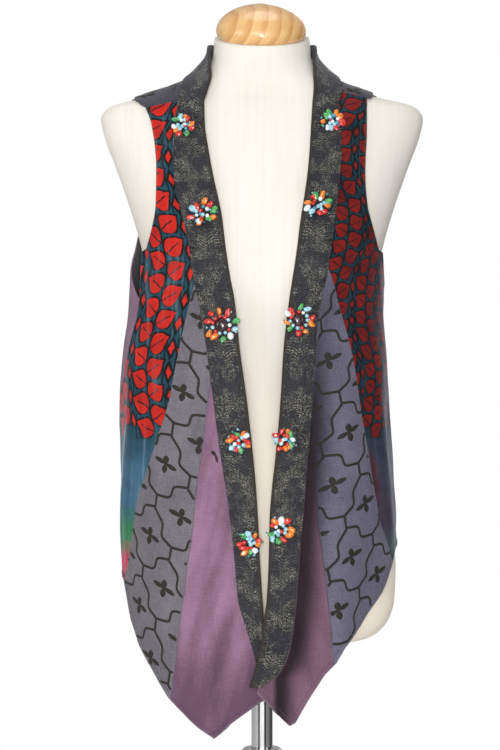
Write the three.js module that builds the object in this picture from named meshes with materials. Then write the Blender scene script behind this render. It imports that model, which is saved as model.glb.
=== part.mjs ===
// A sleeveless patchwork gilet with an open, pointed front, worn on a limbless dress form on a round-based stand.
// Millimetres, +Z up, the front faces -Y, and the origin is on the floor under the pole.
// Left and right are the wearer's: left is +X. Distances "out" are measured from the centre line to that side.
import * as THREE from "three";

// Stand
const BASE = { radius: 200, thick: 10, chamfer: 2 };
const HUB = { radius: 26, height: 24, chamfer: 3 };
const POLE_RADIUS = 12.7;
const TUBE = { radius: 16, bore: 13.1, top: 250 };
const COLLAR = { radius: 24, bore: 13.1, height: 21, chamfer: 3 };
const SEAT_GAP = 0.3;

// Dress form: half width, depth to the front and depth to the back at each height
const FORM = [
  { z: 400, half: 104, front: 66, back: 76 },
  { z: 403, half: 124, front: 82, back: 93 },
  { z: 412, half: 140, front: 95, back: 107 },
  { z: 427, half: 152, front: 103, back: 117 },
  { z: 450, half: 158.5, front: 107, back: 123 },
  { z: 490, half: 160, front: 108, back: 124 },
  { z: 540, half: 154, front: 106, back: 119 },
  { z: 600, half: 138, front: 100, back: 102 },
  { z: 680, half: 117, front: 91, back: 80 },
  { z: 740, half: 121, front: 99, back: 84 },
  { z: 800, half: 131, front: 110, back: 94 },
  { z: 840, half: 138, front: 115, back: 101 },
  { z: 876, half: 146, front: 111, back: 106 },
  { z: 920, half: 159, front: 99, back: 108 },
  { z: 966, half: 175, front: 85, back: 106 },
  { z: 1004, half: 189, front: 71, back: 100 },
  { z: 1024, half: 193, front: 63, back: 94 },
  { z: 1036, half: 187, front: 58, back: 88 },
  { z: 1042, half: 174, front: 55, back: 84 },
  { z: 1048, half: 147, front: 52, back: 79 },
  { z: 1056, half: 116, front: 50, back: 74 },
  { z: 1066, half: 90, front: 49, back: 69 },
  { z: 1082, half: 68, front: 49, back: 63 },
  { z: 1100, half: 59, front: 49, back: 59 },
  { z: 1121, half: 57, front: 50, back: 57 },
];
const FORM_BOTTOM = FORM[0].z;
const NECK_TOP = FORM[FORM.length - 1].z;
const NECK_LEAN = 0.3; // the neck's top plane falls this much for each millimetre forwards
const LEAN_FROM = 1060;
const SQUARENESS = 2.3; // power of every section: 2 is an ellipse, more is squarer
const BUST = { angle: 34, z: 838, rise: 11, spreadAngle: 19, spreadZ: 52 };
const CAP = { radius: 55, height: 41, brim: 9, lip: 4 };

// Gilet: half width on each side, depth to the front and depth to the back at each height
const GILET = [
  { z: 280, right: 168, left: 158, front: 122, back: 130 },
  { z: 340, right: 169, left: 160, front: 126, back: 131 },
  { z: 400, right: 170, left: 162, front: 130, back: 132 },
  { z: 480, right: 170, left: 162.5, front: 132, back: 131 },
  { z: 540, right: 171.5, left: 162.5, front: 132, back: 125 },
  { z: 600, right: 170.5, left: 158.5, front: 131, back: 113 },
  { z: 690, right: 169.5, left: 150.5, front: 129, back: 99 },
  { z: 748, right: 167, left: 149, front: 127, back: 100 },
  { z: 800, right: 160, left: 146, front: 124, back: 105 },
  { z: 840, right: 157, left: 146, front: 121, back: 109 },
  { z: 876, right: 154, left: 149, front: 117, back: 112 },
  { z: 920, right: 162, left: 162, front: 105, back: 113 },
  { z: 966, right: 178, left: 178, front: 91, back: 111 },
  { z: 1004, right: 192, left: 192, front: 77, back: 105 },
  { z: 1024, right: 196, left: 196, front: 69, back: 99 },
  { z: 1036, right: 192, left: 191, front: 64, back: 93 },
  { z: 1042, right: 181, left: 179, front: 61, back: 89 },
  { z: 1052, right: 149, left: 146, front: 57, back: 83 },
  { z: 1058, right: 131, left: 128, front: 55, back: 79 },
  { z: 1066, right: 106, left: 104, front: 53, back: 74 },
  { z: 1074, right: 89, left: 89, front: 52, back: 70 },
  { z: 1086, right: 76, left: 75, front: 52, back: 66 },
  { z: 1100, right: 65, left: 64, front: 52, back: 63 },
  { z: 1116, right: 60.5, left: 60.5, front: 53, back: 61 },
];
const CLOTH = 1.8; // thickness of a panel
const BAND = { under: 0.6, over: 3, tuck: 6 }; // the band lies on the panels, which reach under it by the tuck
const CLEARANCE = 3.6; // from the form to a panel's outer face
const SEAM = 0.2; // half of the gap at a seam
const YOKE_SEAM = 962;
const LAP = { rise: 6.5, full: 450, none: 580, spreadAngle: 50 }; // the left front laps over the right near the hem

// Seams of each front: how far out each line lies at each height.
// edge is the band's free edge, seam its sewn edge, print the print-to-lattice seam, plum the lattice-to-plum seam.
const RIGHT_LINES = [
  { z: 290, edge: -8, seam: -6, print: 176, plum: 116 },
  { z: 360, edge: -6, seam: 1, print: 170, plum: 105 },
  { z: 385, edge: -5, seam: 7, print: 168, plum: 101 },
  { z: 402, edge: -4, seam: 11, print: 167, plum: 99 },
  { z: 431, edge: -2, seam: 20, print: 164, plum: 95 },
  { z: 460, edge: 0, seam: 28, print: 161, plum: 90 },
  { z: 506, edge: 3, seam: 32, print: 154, plum: 85.5 },
  { z: 529, edge: 4, seam: 34.5, print: 149.5, plum: 82 },
  { z: 575, edge: 6.5, seam: 40, print: 143, plum: 78.5 },
  { z: 632, edge: 11.5, seam: 49, print: 127.5, plum: 70 },
  { z: 689, edge: 18, seam: 56.5, print: 108.5, plum: 62.5 },
  { z: 708, edge: 20.5, seam: 59, print: 105, plum: 60 },
  { z: 747, edge: 26, seam: 64, print: 97, plum: 50 },
  { z: 804, edge: 32, seam: 74, print: 85, plum: 36 },
  { z: 833, edge: 37.5, seam: 79.5, print: 76, plum: 30 },
  { z: 862, edge: 42, seam: 83.5, print: 66, plum: 24 },
  { z: 903, edge: 47, seam: 92.5, print: 50, plum: 18 },
  { z: 950, edge: 57, seam: 102.5, print: 40, plum: 14 },
  { z: 980, edge: 62.5, seam: 104.5, print: 36, plum: 12 },
  { z: 1011, edge: 67, seam: 103.5, print: 34, plum: 10 },
  { z: 1040, edge: 68, seam: 98.5, print: 32, plum: 10 },
];
const LEFT_LINES = [
  { z: 290, edge: -17, seam: -8, print: 172, plum: 81 },
  { z: 360, edge: -15.5, seam: 1, print: 168, plum: 80 },
  { z: 373, edge: -11, seam: 15, print: 167, plum: 79.5 },
  { z: 385, edge: -8, seam: 23, print: 166, plum: 79.5 },
  { z: 402, edge: -3.5, seam: 29.5, print: 164, plum: 79 },
  { z: 431, edge: 0.5, seam: 35, print: 161, plum: 77.5 },
  { z: 460, edge: 4.5, seam: 38, print: 158, plum: 75.5 },
  { z: 509, edge: 7, seam: 42, print: 150, plum: 71.5 },
  { z: 552, edge: 8, seam: 46, print: 138, plum: 68.5 },
  { z: 575, edge: 9.5, seam: 48, print: 134, plum: 67.5 },
  { z: 632, edge: 15.5, seam: 53, print: 125, plum: 65 },
  { z: 689, edge: 20.5, seam: 57.5, print: 115, plum: 59 },
  { z: 747, edge: 24, seam: 60.5, print: 103.5, plum: 46 },
  { z: 804, edge: 30.5, seam: 67.5, print: 89, plum: 34 },
  { z: 839, edge: 36, seam: 75, print: 77.5, plum: 28 },
  { z: 862, edge: 39.5, seam: 78.5, print: 67, plum: 24 },
  { z: 891, edge: 43, seam: 82.5, print: 54, plum: 20 },
  { z: 950, edge: 52, seam: 90, print: 42, plum: 14 },
  { z: 980, edge: 55, seam: 92.5, print: 38, plum: 12 },
  { z: 1011, edge: 57, seam: 92.5, print: 36, plum: 10 },
  { z: 1040, edge: 59, seam: 89.5, print: 34, plum: 10 },
];

// Side seams, as angles round from the centre front, from the hem up to the foot of the armhole
const RIGHT_SIDE = [
  { z: 470, angle: 96 },
  { z: 600, angle: 94 },
  { z: 650, angle: 92 },
  { z: 685, angle: 87 },
  { z: 715, angle: 77 },
  { z: 748, angle: 72 },
  { z: 782, angle: 68.5 },
  { z: 806, angle: 67 },
];
const LEFT_SIDE = [
  { z: 480, angle: 100 },
  { z: 600, angle: 100 },
  { z: 780, angle: 100 },
  { z: 812, angle: 98 },
];

// The front of each armhole: first as an angle, then as a distance out
const RIGHT_SCYE = [
  { z: 806, angle: 67 },
  { z: 835, angle: 67.4 },
  { z: 864, angle: 67.8 },
];
const LEFT_SCYE = [
  { z: 812, angle: 98 },
  { z: 826, angle: 89 },
  { z: 842, angle: 80 },
  { z: 864, angle: 73.4 },
];
const RIGHT_ARMHOLE = [
  { z: 864, out: 137 },
  { z: 894, out: 129 },
  { z: 918, out: 125.5 },
  { z: 954, out: 125 },
  { z: 985, out: 126.5 },
  { z: 1013, out: 130.5 },
  { z: 1034, out: 138 },
];
const LEFT_ARMHOLE = [
  { z: 864, out: 137.5 },
  { z: 890, out: 130.5 },
  { z: 917, out: 124 },
  { z: 954, out: 121.5 },
  { z: 991, out: 123 },
  { z: 1029, out: 123.5 },
  { z: 1047, out: 124.5 },
];
// The back of each armhole, up to the yoke
const RIGHT_BACK_SCYE = [
  { z: 806, angle: 67 },
  { z: 822, angle: 74 },
  { z: 845, angle: 83 },
  { z: 874, angle: 91.5 },
  { z: 905, angle: 103 },
  { z: 935, angle: 112 },
  { z: 962, angle: 117 },
];
const LEFT_BACK_SCYE = [
  { z: 812, angle: 98 },
  { z: 826, angle: 104 },
  { z: 850, angle: 110 },
  { z: 890, angle: 116 },
  { z: 930, angle: 119 },
  { z: 962, angle: 120 },
];

// Hems: height at each angle round from the centre front. The lowest row is the point of the front.
const RIGHT_HEM = [
  { angle: -10, z: 352 },
  { angle: 1.3, z: 341 },
  { angle: 15.4, z: 318 },
  { angle: 26.3, z: 297.5 },
  { angle: 36.4, z: 319 },
  { angle: 47.2, z: 344 },
  { angle: 55.3, z: 373 },
  { angle: 63.5, z: 402 },
  { angle: 69, z: 431 },
  { angle: 72.5, z: 460 },
  { angle: 75, z: 478 },
  { angle: 96, z: 478 },
  { angle: 130, z: 462 },
  { angle: 180, z: 450 },
];
const LEFT_HEM = [
  { angle: -12, z: 362 },
  { angle: -3.7, z: 355 },
  { angle: 11.2, z: 320 },
  { angle: 14.4, z: 313.5 },
  { angle: 17, z: 317 },
  { angle: 29.9, z: 373 },
  { angle: 34.3, z: 386 },
  { angle: 38, z: 403 },
  { angle: 49, z: 426 },
  { angle: 61.5, z: 464 },
  { angle: 69, z: 497 },
  { angle: 72, z: 506 },
  { angle: 100, z: 500 },
  { angle: 130, z: 470 },
  { angle: 180, z: 450 },
];

// The valley that the left front falls into beside its band
const LEFT_VALLEY = [
  { z: 280, depth: 13 },
  { z: 400, depth: 16 },
  { z: 500, depth: 17 },
  { z: 600, depth: 17 },
  { z: 690, depth: 13 },
  { z: 740, depth: 9 },
  { z: 800, depth: 4 },
  { z: 860, depth: 0 },
];
const VALLEY = { width: 13, start: 12 }; // it starts at the sewn edge, or at the start where the fronts overlap

// Soft folds: each starts at its top and is deepest at its foot. A negative depth is a ridge.
const RIGHT_FOLDS = [
  { topAngle: 24, footAngle: 24, top: 520, foot: 330, spread: 6, depth: 8 },
  { topAngle: 34, footAngle: 36, top: 560, foot: 320, spread: 7, depth: -4 },
  { topAngle: 52, footAngle: 56, top: 640, foot: 400, spread: 8, depth: 4 },
  { topAngle: 78, footAngle: 84, top: 760, foot: 500, spread: 7, depth: 4 },
  { topAngle: 112, footAngle: 118, top: 720, foot: 460, spread: 9, depth: 6 },
  { topAngle: 140, footAngle: 146, top: 700, foot: 450, spread: 10, depth: 7 },
  { topAngle: 172, footAngle: 168, top: 740, foot: 450, spread: 8, depth: 6 },
];
const LEFT_FOLDS = [
  { topAngle: 34, footAngle: 37, top: 620, foot: 400, spread: 6, depth: -5 },
  { topAngle: 50, footAngle: 52, top: 660, foot: 430, spread: 8, depth: 4 },
  { topAngle: 76, footAngle: 80, top: 700, foot: 520, spread: 7, depth: 4 },
  { topAngle: 116, footAngle: 122, top: 740, foot: 460, spread: 9, depth: 6 },
  { topAngle: 148, footAngle: 150, top: 690, foot: 450, spread: 10, depth: 7 },
];

// The band round the neck, from the shoulder to the centre back
const NECK_BAND = [
  { edgeAngle: 53, edgeZ: 1064, seamAngle: 65, seamZ: 1054 },
  { edgeAngle: 65, edgeZ: 1088, seamAngle: 73, seamZ: 1066 },
  { edgeAngle: 76, edgeZ: 1105, seamAngle: 82, seamZ: 1072 },
  { edgeAngle: 90, edgeZ: 1112, seamAngle: 92, seamZ: 1074 },
  { edgeAngle: 108, edgeZ: 1111, seamAngle: 108, seamZ: 1071 },
  { edgeAngle: 128, edgeZ: 1107, seamAngle: 128, seamZ: 1066 },
  { edgeAngle: 152, edgeZ: 1103, seamAngle: 152, seamZ: 1062 },
  { edgeAngle: 180, edgeZ: 1101, seamAngle: 180, seamZ: 1060 },
];

// Half of the yoke, from the front shoulder seam over the shoulder to the centre back
const RIGHT_YOKE = [
  { neckAngle: 58, neckZ: 1045, armAngle: 70, armZ: 1034 },
  { neckAngle: 66, neckZ: 1061, armAngle: 78, armZ: 1046 },
  { neckAngle: 78, neckZ: 1075, armAngle: 90, armZ: 1052 },
  { neckAngle: 94, neckZ: 1079, armAngle: 99, armZ: 1046 },
  { neckAngle: 108, neckZ: 1076, armAngle: 107, armZ: 1032 },
  { neckAngle: 124, neckZ: 1071, armAngle: 114, armZ: 1010 },
  { neckAngle: 138, neckZ: 1068, armAngle: 118, armZ: 982 },
  { neckAngle: 150, neckZ: 1066, armAngle: 117, armZ: YOKE_SEAM },
  { neckAngle: 160, neckZ: 1065, armAngle: 138, armZ: YOKE_SEAM },
  { neckAngle: 170, neckZ: 1064, armAngle: 159, armZ: YOKE_SEAM },
  { neckAngle: 180, neckZ: 1064, armAngle: 180, armZ: YOKE_SEAM },
];
const LEFT_YOKE = [
  { neckAngle: 60, neckZ: 1056, armAngle: 72, armZ: 1047 },
  { neckAngle: 67, neckZ: 1065, armAngle: 82, armZ: 1055 },
  { neckAngle: 78, neckZ: 1075, armAngle: 90, armZ: 1058 },
  { neckAngle: 94, neckZ: 1079, armAngle: 100, armZ: 1052 },
  { neckAngle: 108, neckZ: 1076, armAngle: 110, armZ: 1038 },
  { neckAngle: 124, neckZ: 1071, armAngle: 117, armZ: 1012 },
  { neckAngle: 138, neckZ: 1068, armAngle: 121, armZ: 984 },
  { neckAngle: 150, neckZ: 1066, armAngle: 120, armZ: YOKE_SEAM },
  { neckAngle: 160, neckZ: 1065, armAngle: 140, armZ: YOKE_SEAM },
  { neckAngle: 170, neckZ: 1064, armAngle: 160, armZ: YOKE_SEAM },
  { neckAngle: 180, neckZ: 1064, armAngle: 180, armZ: YOKE_SEAM },
];

// Bead rosettes down each band
const RIGHT_ROSETTES = [
  { out: 92, z: 1009, radius: 15 },
  { out: 68, z: 904, radius: 18 },
  { out: 46.5, z: 775, radius: 19 },
  { out: 26, z: 641, radius: 15 },
  { out: 15, z: 525, radius: 15 },
];
const LEFT_ROSETTES = [
  { out: 82, z: 1014, radius: 14.5 },
  { out: 64, z: 914, radius: 17 },
  { out: 41, z: 781, radius: 17 },
  { out: 25, z: 643, radius: 14.5 },
  { out: 20, z: 540, radius: 16 },
];
const ROSETTE = { chips: 9, backing: 0.9, bead: 3.6, between: 1.2, rise: 0.5 };
// Rows of each panel's mesh between one seam's end and the next, so that neighbours share the rows of their seam
const ROWS = { plum: 14, lattice: 5, print: 11, back: 7 };
const CROWDING = 1.35; // more than 1 brings rows closer towards the neck and columns closer towards the band
const ROSETTE_RINGS = [0.3, 0.46, 0.86, 1]; // as shares of the radius

const SIDES = {
  right: {
    sign: -1,
    lines: RIGHT_LINES,
    armhole: RIGHT_ARMHOLE,
    side: RIGHT_SIDE,
    scye: RIGHT_SCYE,
    backScye: RIGHT_BACK_SCYE,
    hem: RIGHT_HEM,
    folds: RIGHT_FOLDS,
    rosettes: RIGHT_ROSETTES,
    yoke: RIGHT_YOKE,
    point: 26.3,
    shoulder: { neck: 1045, arm: 1034 },
    latticeTop: 827,
    plumTop: 716,
    bandFoot: 356,
    lap: 0,
    valley: 0,
  },
  left: {
    sign: 1,
    lines: LEFT_LINES,
    armhole: LEFT_ARMHOLE,
    side: LEFT_SIDE,
    scye: LEFT_SCYE,
    backScye: LEFT_BACK_SCYE,
    hem: LEFT_HEM,
    folds: LEFT_FOLDS,
    rosettes: LEFT_ROSETTES,
    yoke: LEFT_YOKE,
    point: 14.4,
    shoulder: { neck: 1056, arm: 1047 },
    latticeTop: 846,
    plumTop: 704,
    bandFoot: 360,
    lap: 1,
    valley: 1,
  },
};

const degrees = Math.PI / 180;
const mix = (a, b, t) => a + (b - a) * t;
const clamp = (t) => Math.min(1, Math.max(0, t));
const ease = (t) => clamp(t) ** 2 * (3 - 2 * clamp(t));

// The larger of two lengths, rounded off over about k millimetres where they are alike
const roundedMax = (a, b, k = 2) => (a + b + Math.hypot(a - b, k)) / 2;

// A column of a table at a place along another column, as a smooth curve that doesn't overshoot its rows
function curve(table, by, column, at) {
  const last = table.length - 1;
  const slope = (k) => (table[k + 1][column] - table[k][column]) / (table[k + 1][by] - table[k][by]);
  const tangent = (k) => {
    if (k === 0) return slope(0);
    if (k === last) return slope(last - 1);
    const [a, b] = [slope(k - 1), slope(k)];
    return a * b <= 0 ? 0 : (2 * a * b) / (a + b);
  };
  if (at <= table[0][by]) return table[0][column];
  if (at >= table[last][by]) return table[last][column];
  let k = 0;
  while (table[k + 1][by] < at) k += 1;
  const h = table[k + 1][by] - table[k][by];
  const t = (at - table[k][by]) / h;
  const [p, q] = [table[k][column], table[k + 1][column]];
  const bend = (1 - t) * tangent(k) * h - t * tangent(k + 1) * h + (p - q) * (1 - 2 * t);
  return mix(p, q, t) + t * (1 - t) * bend;
}

// The same column along straight lines, for hems with a sharp point
function polyline(table, by, column, at) {
  let k = 0;
  while (k < table.length - 2 && table[k + 1][by] < at) k += 1;
  const t = (at - table[k][by]) / (table[k + 1][by] - table[k][by]);
  return mix(table[k][column], table[k + 1][column], clamp(t));
}

// Distance from the axis to a rounded section, at an angle round from the centre front
function section(angle, half, front, back) {
  const depth = Math.cos(angle * degrees) > 0 ? front : back;
  const across = Math.abs(Math.sin(angle * degrees) / half) ** SQUARENESS;
  const along = Math.abs(Math.cos(angle * degrees) / depth) ** SQUARENESS;
  return (across + along) ** (-1 / SQUARENESS);
}

function formRadius(angle, z) {
  const [half, front, back] = ["half", "front", "back"].map((column) => curve(FORM, "z", column, z));
  const bust = Math.exp(-(((Math.abs(angle) - BUST.angle) / BUST.spreadAngle) ** 2) - ((z - BUST.z) / BUST.spreadZ) ** 2);
  return section(angle, half, front, back) + BUST.rise * bust;
}

// The form grown by the clearance, square to its surface
function clearRadius(angle, z) {
  const slope = (formRadius(angle, z + 1) - formRadius(angle, z - 1)) / 2;
  return formRadius(angle, z) + CLEARANCE * Math.hypot(1, slope);
}

// The gilet's outer face, let in by a fold's depth: its own hang, and never closer to the form than the clearance
function restRadius(side, angle, z, depth = 0) {
  const half = curve(GILET, "z", side.sign > 0 ? "left" : "right", z);
  const [front, back] = ["front", "back"].map((column) => curve(GILET, "z", column, z));
  const near = ease((LAP.none - z) / (LAP.none - LAP.full)) * Math.exp(-((angle / LAP.spreadAngle) ** 2));
  const hang = section(angle, half, front, back) + side.lap * LAP.rise * near - depth;
  return z < FORM_BOTTOM ? hang : roundedMax(hang, clearRadius(angle, z));
}

// The angle at which the gilet lies so far out at this height
function angleAt(side, out, z) {
  let [low, high] = [-60, 90];
  for (let step = 0; step < 40; step += 1) {
    const middle = (low + high) / 2;
    if (restRadius(side, middle, z) * Math.sin(middle * degrees) < out) low = middle;
    else high = middle;
  }
  return (low + high) / 2;
}

// Folds of this side, and those of the other side that reach over the centre back
function foldDepth(side, angle, z) {
  const other = side === SIDES.left ? SIDES.right : SIDES.left;
  let depth = 0;
  for (const [folds, at] of [[side.folds, angle], [other.folds, 360 - angle]])
    for (const fold of folds) {
      const down = (fold.top - z) / (fold.top - fold.foot);
      const centre = mix(fold.topAngle, fold.footAngle, clamp(down));
      depth += fold.depth * ease(down) * Math.exp(-(((at - centre) / fold.spread) ** 2));
    }
  return depth;
}

// The valley falls steeply and comes back slowly
function valleyDepth(side, out, z) {
  const past = (out - Math.max(curve(side.lines, "z", "seam", z), VALLEY.start)) / VALLEY.width;
  if (!side.valley || past <= 0 || out < 0) return 0;
  return curve(LEFT_VALLEY, "z", "depth", z) * past ** 2 * Math.exp(2 - 2 * past);
}

function folded(side, angle, z) {
  const out = restRadius(side, angle, z) * Math.sin(angle * degrees);
  return restRadius(side, angle, z, (angle < 90 ? valleyDepth(side, out, z) : 0) + foldDepth(side, angle, z));
}

// The neck leans forwards, and what is round it leans with it
function place(sign, radius, angle, z) {
  const lean = NECK_LEAN * ease((z - LEAN_FROM) / (NECK_TOP - LEAN_FROM));
  const y = -radius * Math.cos(angle * degrees);
  return new THREE.Vector3(sign * radius * Math.sin(angle * degrees), y, z + lean * y);
}


// A point of a side's surface and the way out of it. A surface is a radius at each angle and height.
function onSurface(side, radius, angle, z) {
  const at = (turn, rise) => place(side.sign, radius(side, angle + turn, z + rise), angle + turn, z + rise);
  const round = at(0.3, 0).sub(at(-0.3, 0));
  const up = at(0, 1).sub(at(0, -1));
  return { point: at(0, 0), normal: round.cross(up).normalize().multiplyScalar(side.sign) };
}
const panelPoint = (side, angle, z) => onSurface(side, folded, angle, z);
const bandPoint = (side, angle, z) => onSurface(side, restRadius, angle, z);

// Turns triangles so that they face out of the closed body that they bound
function solid(points, triangles) {
  let volume = 0;
  for (const [a, b, c] of triangles) volume += points[a].dot(points[b].clone().cross(points[c]));
  const faces = volume < 0 ? triangles.map(([a, b, c]) => [a, c, b]) : triangles;
  const geometry = new THREE.BufferGeometry();
  geometry.setAttribute("position", new THREE.Float32BufferAttribute(points.flatMap((p) => p.toArray()), 3));
  geometry.setIndex(faces.flat());
  geometry.computeVertexNormals();
  return geometry;
}

// A closed wall over a grid of surface points, from one height over them to another
function wall(grid, low, high) {
  const [rows, columns] = [grid.length, grid[0].length];
  const points = [high, low].flatMap((height) =>
    grid.flat().map(({ point, normal }) => point.clone().addScaledVector(normal, height)),
  );
  const at = (i, j, skin) => skin * rows * columns + i * columns + j;
  const triangles = [];
  const quad = (a, b, c, d) => triangles.push([a, b, c], [a, c, d]);
  for (let i = 0; i < rows - 1; i += 1)
    for (let j = 0; j < columns - 1; j += 1) {
      quad(at(i, j, 0), at(i + 1, j, 0), at(i + 1, j + 1, 0), at(i, j + 1, 0));
      quad(at(i, j, 1), at(i, j + 1, 1), at(i + 1, j + 1, 1), at(i + 1, j, 1));
    }
  for (let i = 0; i < rows - 1; i += 1) {
    quad(at(i, 0, 0), at(i, 0, 1), at(i + 1, 0, 1), at(i + 1, 0, 0));
    quad(at(i, columns - 1, 0), at(i + 1, columns - 1, 0), at(i + 1, columns - 1, 1), at(i, columns - 1, 1));
  }
  for (let j = 0; j < columns - 1; j += 1) {
    quad(at(0, j, 0), at(0, j + 1, 0), at(0, j + 1, 1), at(0, j, 1));
    quad(at(rows - 1, j, 0), at(rows - 1, j, 1), at(rows - 1, j + 1, 1), at(rows - 1, j + 1, 0));
  }
  return solid(points, triangles);
}

const spread = (count) => Array.from({ length: count + 1 }, (_, k) => k / count);

// A panel between two seams that run down the body, with a row of points at each level between its top and hem
function panelGrid(side, { inner, outer, top, hem, shares, levels }) {
  const inset = (angle, z) => SEAM / degrees / restRadius(side, angle, z);
  const low = (z) => inner(z) + inset(inner(z), z);
  const high = (z) => outer(z) - inset(outer(z), z);
  const angleOf = (share, z) => mix(low(z), high(z), share);
  const meet = (share, line) => {
    let z = line(angleOf(share, line(inner(700))));
    for (let step = 0; step < 30; step += 1) z = mix(z, line(angleOf(share, z)), 0.5);
    return z;
  };
  const tops = shares.map((share) => meet(share, top));
  const feet = shares.map((share) => meet(share, hem));
  return levels.map((t) =>
    shares.map((share, k) => {
      const z = mix(tops[k], feet[k], t);
      return panelPoint(side, angleOf(share, z), z);
    }),
  );
}

// A strip between two lines, each given at the same stations as an angle and a height
function stripGrid(stations, shares, between, pointAt) {
  const fine = [];
  for (let k = 0; k < stations.length - 1; k += 1)
    for (let step = 0; step < between; step += 1) fine.push(k + step / between);
  fine.push(stations.length - 1);
  const table = stations.map((station, k) => ({ k, ...station }));
  const read = (column, k) => curve(table, "k", column, k);
  return fine.map((k) =>
    shares.map((share) =>
      pointAt(
        mix(read("innerAngle", k), read("outerAngle", k), share),
        mix(read("innerZ", k), read("outerZ", k), share),
      ),
    ),
  );
}

const lineAngle = (side, column, z, shift = 0) => angleAt(side, curve(side.lines, "z", column, z) + shift, z);
const tucked = (side, z) => lineAngle(side, "seam", z, -BAND.tuck);

// The side seam, which parts at the armhole's foot into its front and its back
const sideAngle = (side, scye, z) => curve(z > scye[0].z ? scye : side.side, "z", "angle", z);

const hemAt = (side) => (angle) => polyline(side.hem, "angle", "z", angle);

// The height at which a seam reaches the hem
function seamFoot(side, angleOfSeam) {
  let z = side.hem[0].z;
  for (let step = 0; step < 40; step += 1) z = mix(z, hemAt(side)(angleOfSeam(z)), 0.5);
  return z;
}

// Levels that run evenly down to a joint and then follow the neighbour's own levels
function joined(top, joint, foot, rows, below) {
  const share = (top - joint) / (top - foot);
  return [...rows.map((t) => t * share), ...below.slice(1).map((t) => mix(share, 1, t))];
}

const plumFoot = (side) => seamFoot(side, (z) => lineAngle(side, "plum", z));
const printFoot = (side) => seamFoot(side, (z) => lineAngle(side, "print", z));
const PLUM_LEVELS = spread(ROWS.plum);
const LATTICE_START = spread(ROWS.lattice);
const PRINT_START = spread(ROWS.print).map((t) => t ** CROWDING);
const latticeLevels = (side) =>
  joined(side.latticeTop, side.plumTop, plumFoot(side), LATTICE_START, PLUM_LEVELS);
const printLevels = (side) =>
  joined(side.shoulder.neck, side.latticeTop, printFoot(side), PRINT_START, latticeLevels(side));

function backLevels(side) {
  const foot = hemAt(side)(side.side[0].angle);
  const share = (side.shoulder.neck - side.latticeTop) / (side.shoulder.neck - printFoot(side));
  const joint = mix(side.shoulder.arm, foot, share);
  return joined(YOKE_SEAM, joint, foot, spread(ROWS.back), latticeLevels(side));
}

function printGrid(side) {
  const { neck, arm } = side.shoulder;
  const armhole = (z) => angleAt(side, curve(side.armhole, "z", "out", z), z);
  return panelGrid(side, {
    inner: (z) => Math.max(tucked(side, z), lineAngle(side, "print", z)),
    outer: (z) => (z > side.armhole[0].z ? armhole(z) : sideAngle(side, side.scye, z)),
    top: (angle) => mix(neck, arm, clamp((angle - side.yoke[0].neckAngle) / 12)) - SEAM,
    hem: hemAt(side),
    shares: spread(8),
    levels: printLevels(side),
  });
}

function latticeGrid(side) {
  return panelGrid(side, {
    inner: (z) => Math.max(tucked(side, z), lineAngle(side, "plum", z)),
    outer: (z) => lineAngle(side, "print", z),
    top: () => side.latticeTop,
    hem: hemAt(side),
    shares: spread(7).map((t) => t ** CROWDING),
    levels: latticeLevels(side),
  });
}

function plumGrid(side) {
  const inner = (z) => tucked(side, z);
  const outer = (z) => lineAngle(side, "plum", z);
  const tipZ = hemAt(side)(side.point);
  const tip = (side.point - inner(tipZ)) / (outer(tipZ) - inner(tipZ));
  return panelGrid(side, {
    inner,
    outer,
    top: () => side.plumTop,
    hem: hemAt(side),
    shares: [...spread(4).map((t) => t * tip), ...spread(4).slice(1).map((t) => mix(tip, 1, t))],
    levels: PLUM_LEVELS,
  });
}

function backGrid(side) {
  return panelGrid(side, {
    inner: (z) => sideAngle(side, side.backScye, z),
    outer: () => 180,
    top: () => YOKE_SEAM - SEAM,
    hem: hemAt(side),
    shares: spread(10),
    levels: backLevels(side),
  });
}

// The heights of the panels' rows along the band's sewn edge, from the band's foot up to its last line
function bandLevels(side) {
  const top = side.lines[side.lines.length - 1].z;
  const foot = hemAt(side)(tucked(side, side.bandFoot));
  const heights = [
    ...PLUM_LEVELS.map((t) => mix(side.plumTop, foot, t)),
    ...LATTICE_START.map((t) => mix(side.latticeTop, side.plumTop, t)),
    ...PRINT_START.map((t) => mix(side.shoulder.neck, side.latticeTop, t)),
  ].filter((z) => z > side.bandFoot + 4 && z < top - 2);
  return [...new Set([side.bandFoot, top, ...heights])].sort((a, b) => a - b);
}

function bandGrid(side) {
  const across = spread(4);
  const stations = bandLevels(side).map((z) => {
    const [innerAngle, outerAngle] = ["edge", "seam"].map((column) => lineAngle(side, column, z));
    return { innerAngle, innerZ: z, outerAngle, outerZ: z };
  });
  const front = stripGrid(stations, across, 1, (angle, z) => bandPoint(side, angle, z));
  const neck = [stations[stations.length - 1]];
  for (const row of NECK_BAND)
    neck.push({
      innerAngle: Math.min(row.edgeAngle, 180 - SEAM),
      innerZ: row.edgeZ,
      outerAngle: Math.min(row.seamAngle, 180 - SEAM),
      outerZ: row.seamZ,
    });
  return [...front, ...stripGrid(neck, across, 3, (angle, z) => bandPoint(side, angle, z)).slice(1)];
}

function yokeGrid() {
  const half = (side) =>
    stripGrid(
      side.yoke.map((row) => ({
        innerAngle: row.neckAngle,
        innerZ: row.neckZ + SEAM,
        outerAngle: row.armAngle,
        outerZ: row.armZ + SEAM,
      })),
      spread(9).map((t) => t ** CROWDING),
      2,
      (angle, z) => panelPoint(side, angle, z),
    );
  return [...half(SIDES.right), ...half(SIDES.left).reverse().slice(1)];
}

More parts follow.
